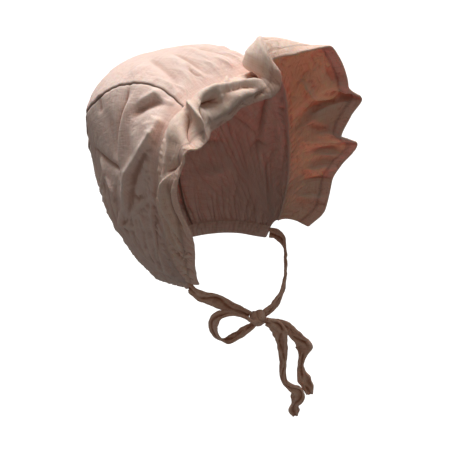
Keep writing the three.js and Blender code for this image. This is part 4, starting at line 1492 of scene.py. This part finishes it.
@dataclass
class Tape:
    """A soft folded linen tape along a table of places.

    Attributes:
        name: The tape's name.
        rows: The places of its middle line, with its widths and thicknesses.
        across: The direction in which its width lies.
        sides: The points round it.
        per_row: The steps from one row to the next.
        crease_height: The height of its long creases, in millimetres.
        crease_width: Their width, as a share of half the tape's width.
        lump_height: The height of its lumps, as a share of half its thickness.
        lump_thickness: The most thickness that makes lumps grow, in millimetres.
        bead_height: How much its two folded edges swell, as a share.
        twist: How far it turns about its middle line, in radians.
        seed: What its creases and lumps are drawn from.
    """

    name: str
    rows: tuple[TapeRow, ...]
    across: tuple[float, float, float]
    sides: int = 48
    per_row: int = 16
    crease_height: float = 0.55
    crease_width: float = 0.16
    lump_height: float = 0.55
    lump_thickness: float = 2.4
    bead_height: float = 0.7
    twist: float = 0.30
    seed: int = 1

    def path(self) -> Array:
        """The tape's middle line."""
        return curve_through(np.array([row[:3] for row in self.rows]), self.per_row)

    def length(self) -> float:
        """The length of the tape's middle line, in millimetres."""
        return float(np.linalg.norm(np.diff(self.path(), axis=0), axis=1).sum())

    def axes(self, middle: Array, run: Array) -> tuple[Array, Array]:
        """The directions of the tape's width and of its thickness.

        Args:
            middle: The points of its middle line.
            run: The distance run at each.

        Returns:
            Two unit vectors for each point, across the tape and out of its face.
        """
        tangent = unit(np.gradient(middle, axis=0))
        across = np.array(self.across, float)
        side = unit(across - (tangent @ across)[:, None] * tangent)
        face = np.cross(tangent, side)
        turn = self.twist * Ripple(self.seed + 70).at(run / 16, 0 * run)[:, None]
        return side * np.cos(turn) + face * np.sin(turn), face * np.cos(turn) - side * np.sin(turn)

    def creases(self, ripple: Ripple, run: Array, cos: Array, sin: Array) -> Array:
        """The three long creases on each face.

        Args:
            ripple: The noise that they wander by.
            run: The distance run, as a column.
            cos: The place across the tape, from -1 to 1, as a row.
            sin: The place through it, as a row.

        Returns:
            Their height, from -1 to 1, as rings by points round them.
        """
        crease = np.zeros(np.broadcast(run, cos).shape)
        for line, sign in ((0, 1), (1, -1), (2, 1)):
            wander = 0.8 * ripple.at(run / 17 + 7 * line, 0.0 * run + line) + 0.4 * (line - 1)
            crease += sign * np.exp(-((cos - wander) / self.crease_width)**2) * np.abs(sin)**0.3
        return crease

    def build(self, finish: bpy.types.Material, node: str) -> bpy.types.Object:
        """Makes the tape.

        Args:
            finish: Its material.
            node: The frame's node that it stands for.

        Returns:
            The dressed tape.
        """
        middle = self.path()
        place = np.linspace(0, len(self.rows) - 1, len(middle))
        numbers = np.arange(len(self.rows))
        width = through(numbers, [row.width for row in self.rows], place)[:, None]
        thick = through(numbers, [row.thick for row in self.rows], place)[:, None]
        turned = np.linspace(0, 2 * math.pi, self.sides, endpoint=False)
        cos, sin = np.cos(turned), np.sin(turned)
        distance = run_along(middle, 0)
        side, face = self.axes(middle, distance)
        run = distance[:, None]
        flat_cos = np.sign(cos) * np.abs(cos)**0.75
        flat_sin = np.sign(sin) * np.abs(sin)**0.85
        edge = 1 + self.bead_height * np.exp(-((np.abs(cos) - 0.82) / 0.16)**2)
        ripple = Ripple(self.seed * 13)
        wave = ripple.at(run / 7, 0.9 * cos[None, :] + 5)
        wave = wave + 0.5 * ripple.at(run / 2.6 + 20, 1.6 * cos[None, :])
        lean = ripple.at(run / 12 + 31, np.zeros((1, self.sides)))
        crease = self.creases(ripple, run, cos[None, :], sin[None, :])
        squeeze = ripple.at(run / 4.5 + 60, 0 * run)
        out = width / 2 * flat_cos * (1.08 + 0.08 * lean + 0.10 * squeeze)
        lumps = self.lump_height * wave * (1 - 0.3 * np.abs(cos)) * np.minimum(thick, self.lump_thickness) / 2
        up = thick / 2 * flat_sin * edge * 0.8 + lumps
        up = up + self.crease_height * crease * np.sign(np.round(sin, 6))[None, :]
        rings = middle[:, None, :] + side[:, None, :] * out[..., None] + face[:, None, :] * up[..., None]
        # painted shade and highlight: the whole tape a little shaded, its raised creases, lumps and beaded
        # edges lighter, its sunk creases darker
        hollow = 0.5 - 1.3 * crease - 0.7 * wave - 0.9 * (edge - 1)
        along = np.broadcast_to(run * MM, out.shape)
        cloth = np.stack((along, out * MM, 0 * out, hollow), axis=-1).reshape(-1, 4)
        cloth = np.vstack((cloth, [[0, 0, 0, 0], [distance[-1] * MM, 0, 0, 0]]))
        piece = tube(self.name, rings, middle[[0, -1]], cloth)
        return dress(piece, finish, "tie_linen", node)


@dataclass
class Knot:
    """The knot under the chin: turns of tape squeezed round each other."""

    centre: tuple[float, float, float] = (-22, -68, -177)
    half: tuple[float, float, float] = (7.0, 6.2, 6.4)
    rings: int = 60
    around: int = 90
    pole: float = 0.04
    core: float = 0.80
    strand_height: float = 0.24

    def build(self, finish: bpy.types.Material) -> bpy.types.Object:
        """Makes the knot."""
        fall = np.linspace(self.pole, math.pi - self.pole, self.rings)[:, None]
        turned = np.linspace(0, 2 * math.pi, self.around, endpoint=False)[None, :]
        x, y = np.sin(fall) * np.cos(turned), np.sin(fall) * np.sin(turned)
        z = np.cos(fall) + 0 * turned
        round_it = np.arctan2(z, x)
        ripple = Ripple(61)
        strands = np.abs(np.sin(1.5 * round_it + 1.6 * y + 0.5)) ** 0.5
        wave = ripple.at(2.2 * round_it, 2.5 * y) * 0.05 + ripple.at(5 * round_it + 9, 5 * y) * 0.025
        size = (self.core + self.strand_height * strands + wave)[..., None]
        rings = np.stack((x, y, z), axis=-1) * size * np.array(self.half) + np.array(self.centre)
        ends = np.array([rings[0].mean(axis=0), rings[-1].mean(axis=0)])
        # painted shade between the knot's strands and a painted highlight on their tops
        cloth = np.stack((round_it * 7 * MM, y * 6.5 * MM, 0 * y, 1.1 - 1.7 * strands), axis=-1)
        cloth = np.vstack((cloth.reshape(-1, 4), np.zeros((2, 4))))
        return dress(tube("knot_cloth", rings, ends, cloth, flip=True), finish, "tie_linen", "bow_knot")


@dataclass
class Ties:
    """The two ties with their knot, their loop and their hanging ends."""

    end_diameter: float = 8.5
    knot: Knot = field(default_factory=Knot)

    def build_ends(self, finish: bpy.types.Material) -> None:
        for name, rows, node, seed in (("front_end", END_FRONT, "tie_end_front", 3),
                                       ("back_end", END_BACK, "tie_end_back", 4)):
            tape = Tape(name, rows, TO_THE_FRONT, per_row=14, seed=seed)
            piece = tape.build(finish, node)
            MM * tape.length()
            log.info("%s: %.0f mm long", name, tape.length())

    def build(self, finish: bpy.types.Material) -> None:
        """Makes the ties from the casing to the knot, the loop and the knot."""
        Tape("right_tie", TIE_RIGHT, UPRIGHT, seed=5).build(finish, "tie_right")
        Tape("left_tie", TIE_LEFT, UPRIGHT, seed=6).build(finish, "tie_left")
        Tape("loop_cloth", LOOP, LOOP_ACROSS, seed=7).build(finish, "bow_loop")
        self.knot.build(finish)


def seen_or_not(tree: bpy.types.NodeTree, unseen: float | Colour, seen: float | Colour,
                socket: bpy.types.NodeSocket) -> None:
    """Gives a socket one value for the camera and another for the light on the bonnet.

    Args:
        tree: The material's or the world's nodes.
        unseen: The value for every ray but the camera's.
        seen: The value that the camera sees.
        socket: The socket.
    """
    path, mix = tree.nodes.new("ShaderNodeLightPath"), tree.nodes.new("ShaderNodeMix")
    if isinstance(unseen, tuple):
        mix.data_type = "RGBA"
        unseen, seen = (*unseen, 1), (*seen, 1)
    set_inputs(mix, {"A": unseen, "B": seen})
    tree.links.new(path.outputs["Is Camera Ray"], mix.inputs["Factor"])
    tree.links.new(mix.outputs["Result"], socket)


@dataclass
class Studio:
    """The camera, the pale floor, the soft light and the pale surroundings."""

    eye: tuple[float, float, float] = (-539.2, -445.6, 284.6)
    aim: tuple[float, float, float] = (1.2, -23.4, -127.4)
    lens: float = 82.1
    floor_z: float = -420
    floor_size: float = 9000
    floor_colour: Colour = (0.93, 0.93, 0.93)
    floor_bounce: Colour = (0.13, 0.13, 0.13)
    key_from: tuple[float, float, float] = (0.38, 0.36, 0.85)
    key_spread: float = 38
    key_strength: float = 4.2
    world_strength: float = 0.19
    world_tone: Colour = (1.0, 0.95, 0.88)
    backdrop: float = 1.0

    def camera(self) -> None:
        """Places the camera."""
        data = bpy.data.cameras.new("camera")
        data.lens = self.lens
        data.sensor_width = 36
        data.clip_start, data.clip_end = 0.01, 50
        camera = bpy.data.objects.new("camera", data)
        camera.location = Vector(self.eye) * MM
        camera.rotation_euler = (Vector(self.aim) - Vector(self.eye)).to_track_quat("-Z", "Y").to_euler()
        bpy.context.scene.collection.objects.link(camera)
        bpy.context.scene.camera = camera

    def sun(self, name: str, towards: tuple[float, float, float], spread: float, strength: float) -> None:
        """One broad soft light that falls from a direction.

        Args:
            name: The light's name.
            towards: The direction from the bonnet to the light.
            spread: How wide it looks from the bonnet, in degrees.
            strength: Its strength in watts for each square metre.
        """
        data = bpy.data.lights.new(name, "SUN")
        data.energy, data.angle = strength, math.radians(spread)
        light = bpy.data.objects.new(name, data)
        light.rotation_euler = Vector(towards).to_track_quat("Z", "Y").to_euler()
        bpy.context.scene.collection.objects.link(light)

    def floor_paint(self) -> bpy.types.Material:
        """The floor's pale paint, which throws only part of its light back on the bonnet.

        Returns:
            The material.
        """
        paint = bpy.data.materials.new("floor_paint")
        paint.use_nodes = True
        shader = paint.node_tree.nodes["Principled BSDF"]
        set_inputs(shader, {"Roughness": 0.95, "Specular IOR Level": 0.0})
        seen_or_not(paint.node_tree, self.floor_bounce, self.floor_colour, shader.inputs["Base Color"])
        return paint

    def surroundings(self) -> bpy.types.World:
        """The pale surroundings, which light the bonnet weakly.

        Returns:
            The world.
        """
        world = bpy.data.worlds.new("studio")
        world.use_nodes = True
        glow = world.node_tree.nodes["Background"]
        seen_or_not(world.node_tree, self.world_tone, WHITE, glow.inputs["Color"])
        seen_or_not(world.node_tree, self.world_strength, self.backdrop, glow.inputs["Strength"])
        return world

    def build(self) -> None:
        """Makes the floor, the light and the pale surroundings."""
        half = self.floor_size / 2
        corners = np.array([(-half, -half, 0), (half, -half, 0), (half, half, 0), (-half, half, 0)], float)
        corners[:, 2] = self.floor_z
        floor = make_mesh("floor", corners, np.array([[0, 1, 2, 3]]))
        floor.data.materials.append(self.floor_paint())
        self.sun("overhead_light", self.key_from, self.key_spread, self.key_strength)
        bpy.context.scene.world = self.surroundings()
        bpy.context.scene.view_settings.view_transform = "Standard"


def main() -> None:
    """Builds the bonnet and its studio in order."""
    logging.basicConfig(level=logging.INFO, format="%(name)s: %(message)s")
    studio = Studio()
    studio.camera()
    # each linen's third colour is the painted shade of its valleys
    tie_linen = LinenFinish("tie_linen", (0.86, 0.56, 0.42), (0.68, 0.38, 0.26), (0.36, 0.13, 0.06),
                            see_through=0.15).material()
    ties = Ties()
    ties.build_ends(tie_linen)
    ties.build(tie_linen)
    crown_linen = LinenFinish("crown_linen", (0.91, 0.68, 0.60), (0.77, 0.52, 0.44)).material()
    # the brim's linen is a darker copy of the crown's, as painted shade for its pockets and flute, and redder
    # to make up for the yellow of light soaking through it; its valleys take a stronger painted shade
    brim_linen = LinenFinish("brim_linen", (0.93, 0.63, 0.52), (0.80, 0.49, 0.38), (0.32, 0.12, 0.05),
                             depth=0.8, see_through=0.32, soak=1.6).material()
    casing_linen = LinenFinish("casing_linen", (0.86, 0.64, 0.55), (0.70, 0.47, 0.38)).material()
    crown = Crown()
    crown.build(crown_linen)
    Brim(crown).build(brim_linen)
    NeckCasing(crown).build(casing_linen)
    studio.build()


if __name__ == "__main__":
    main()
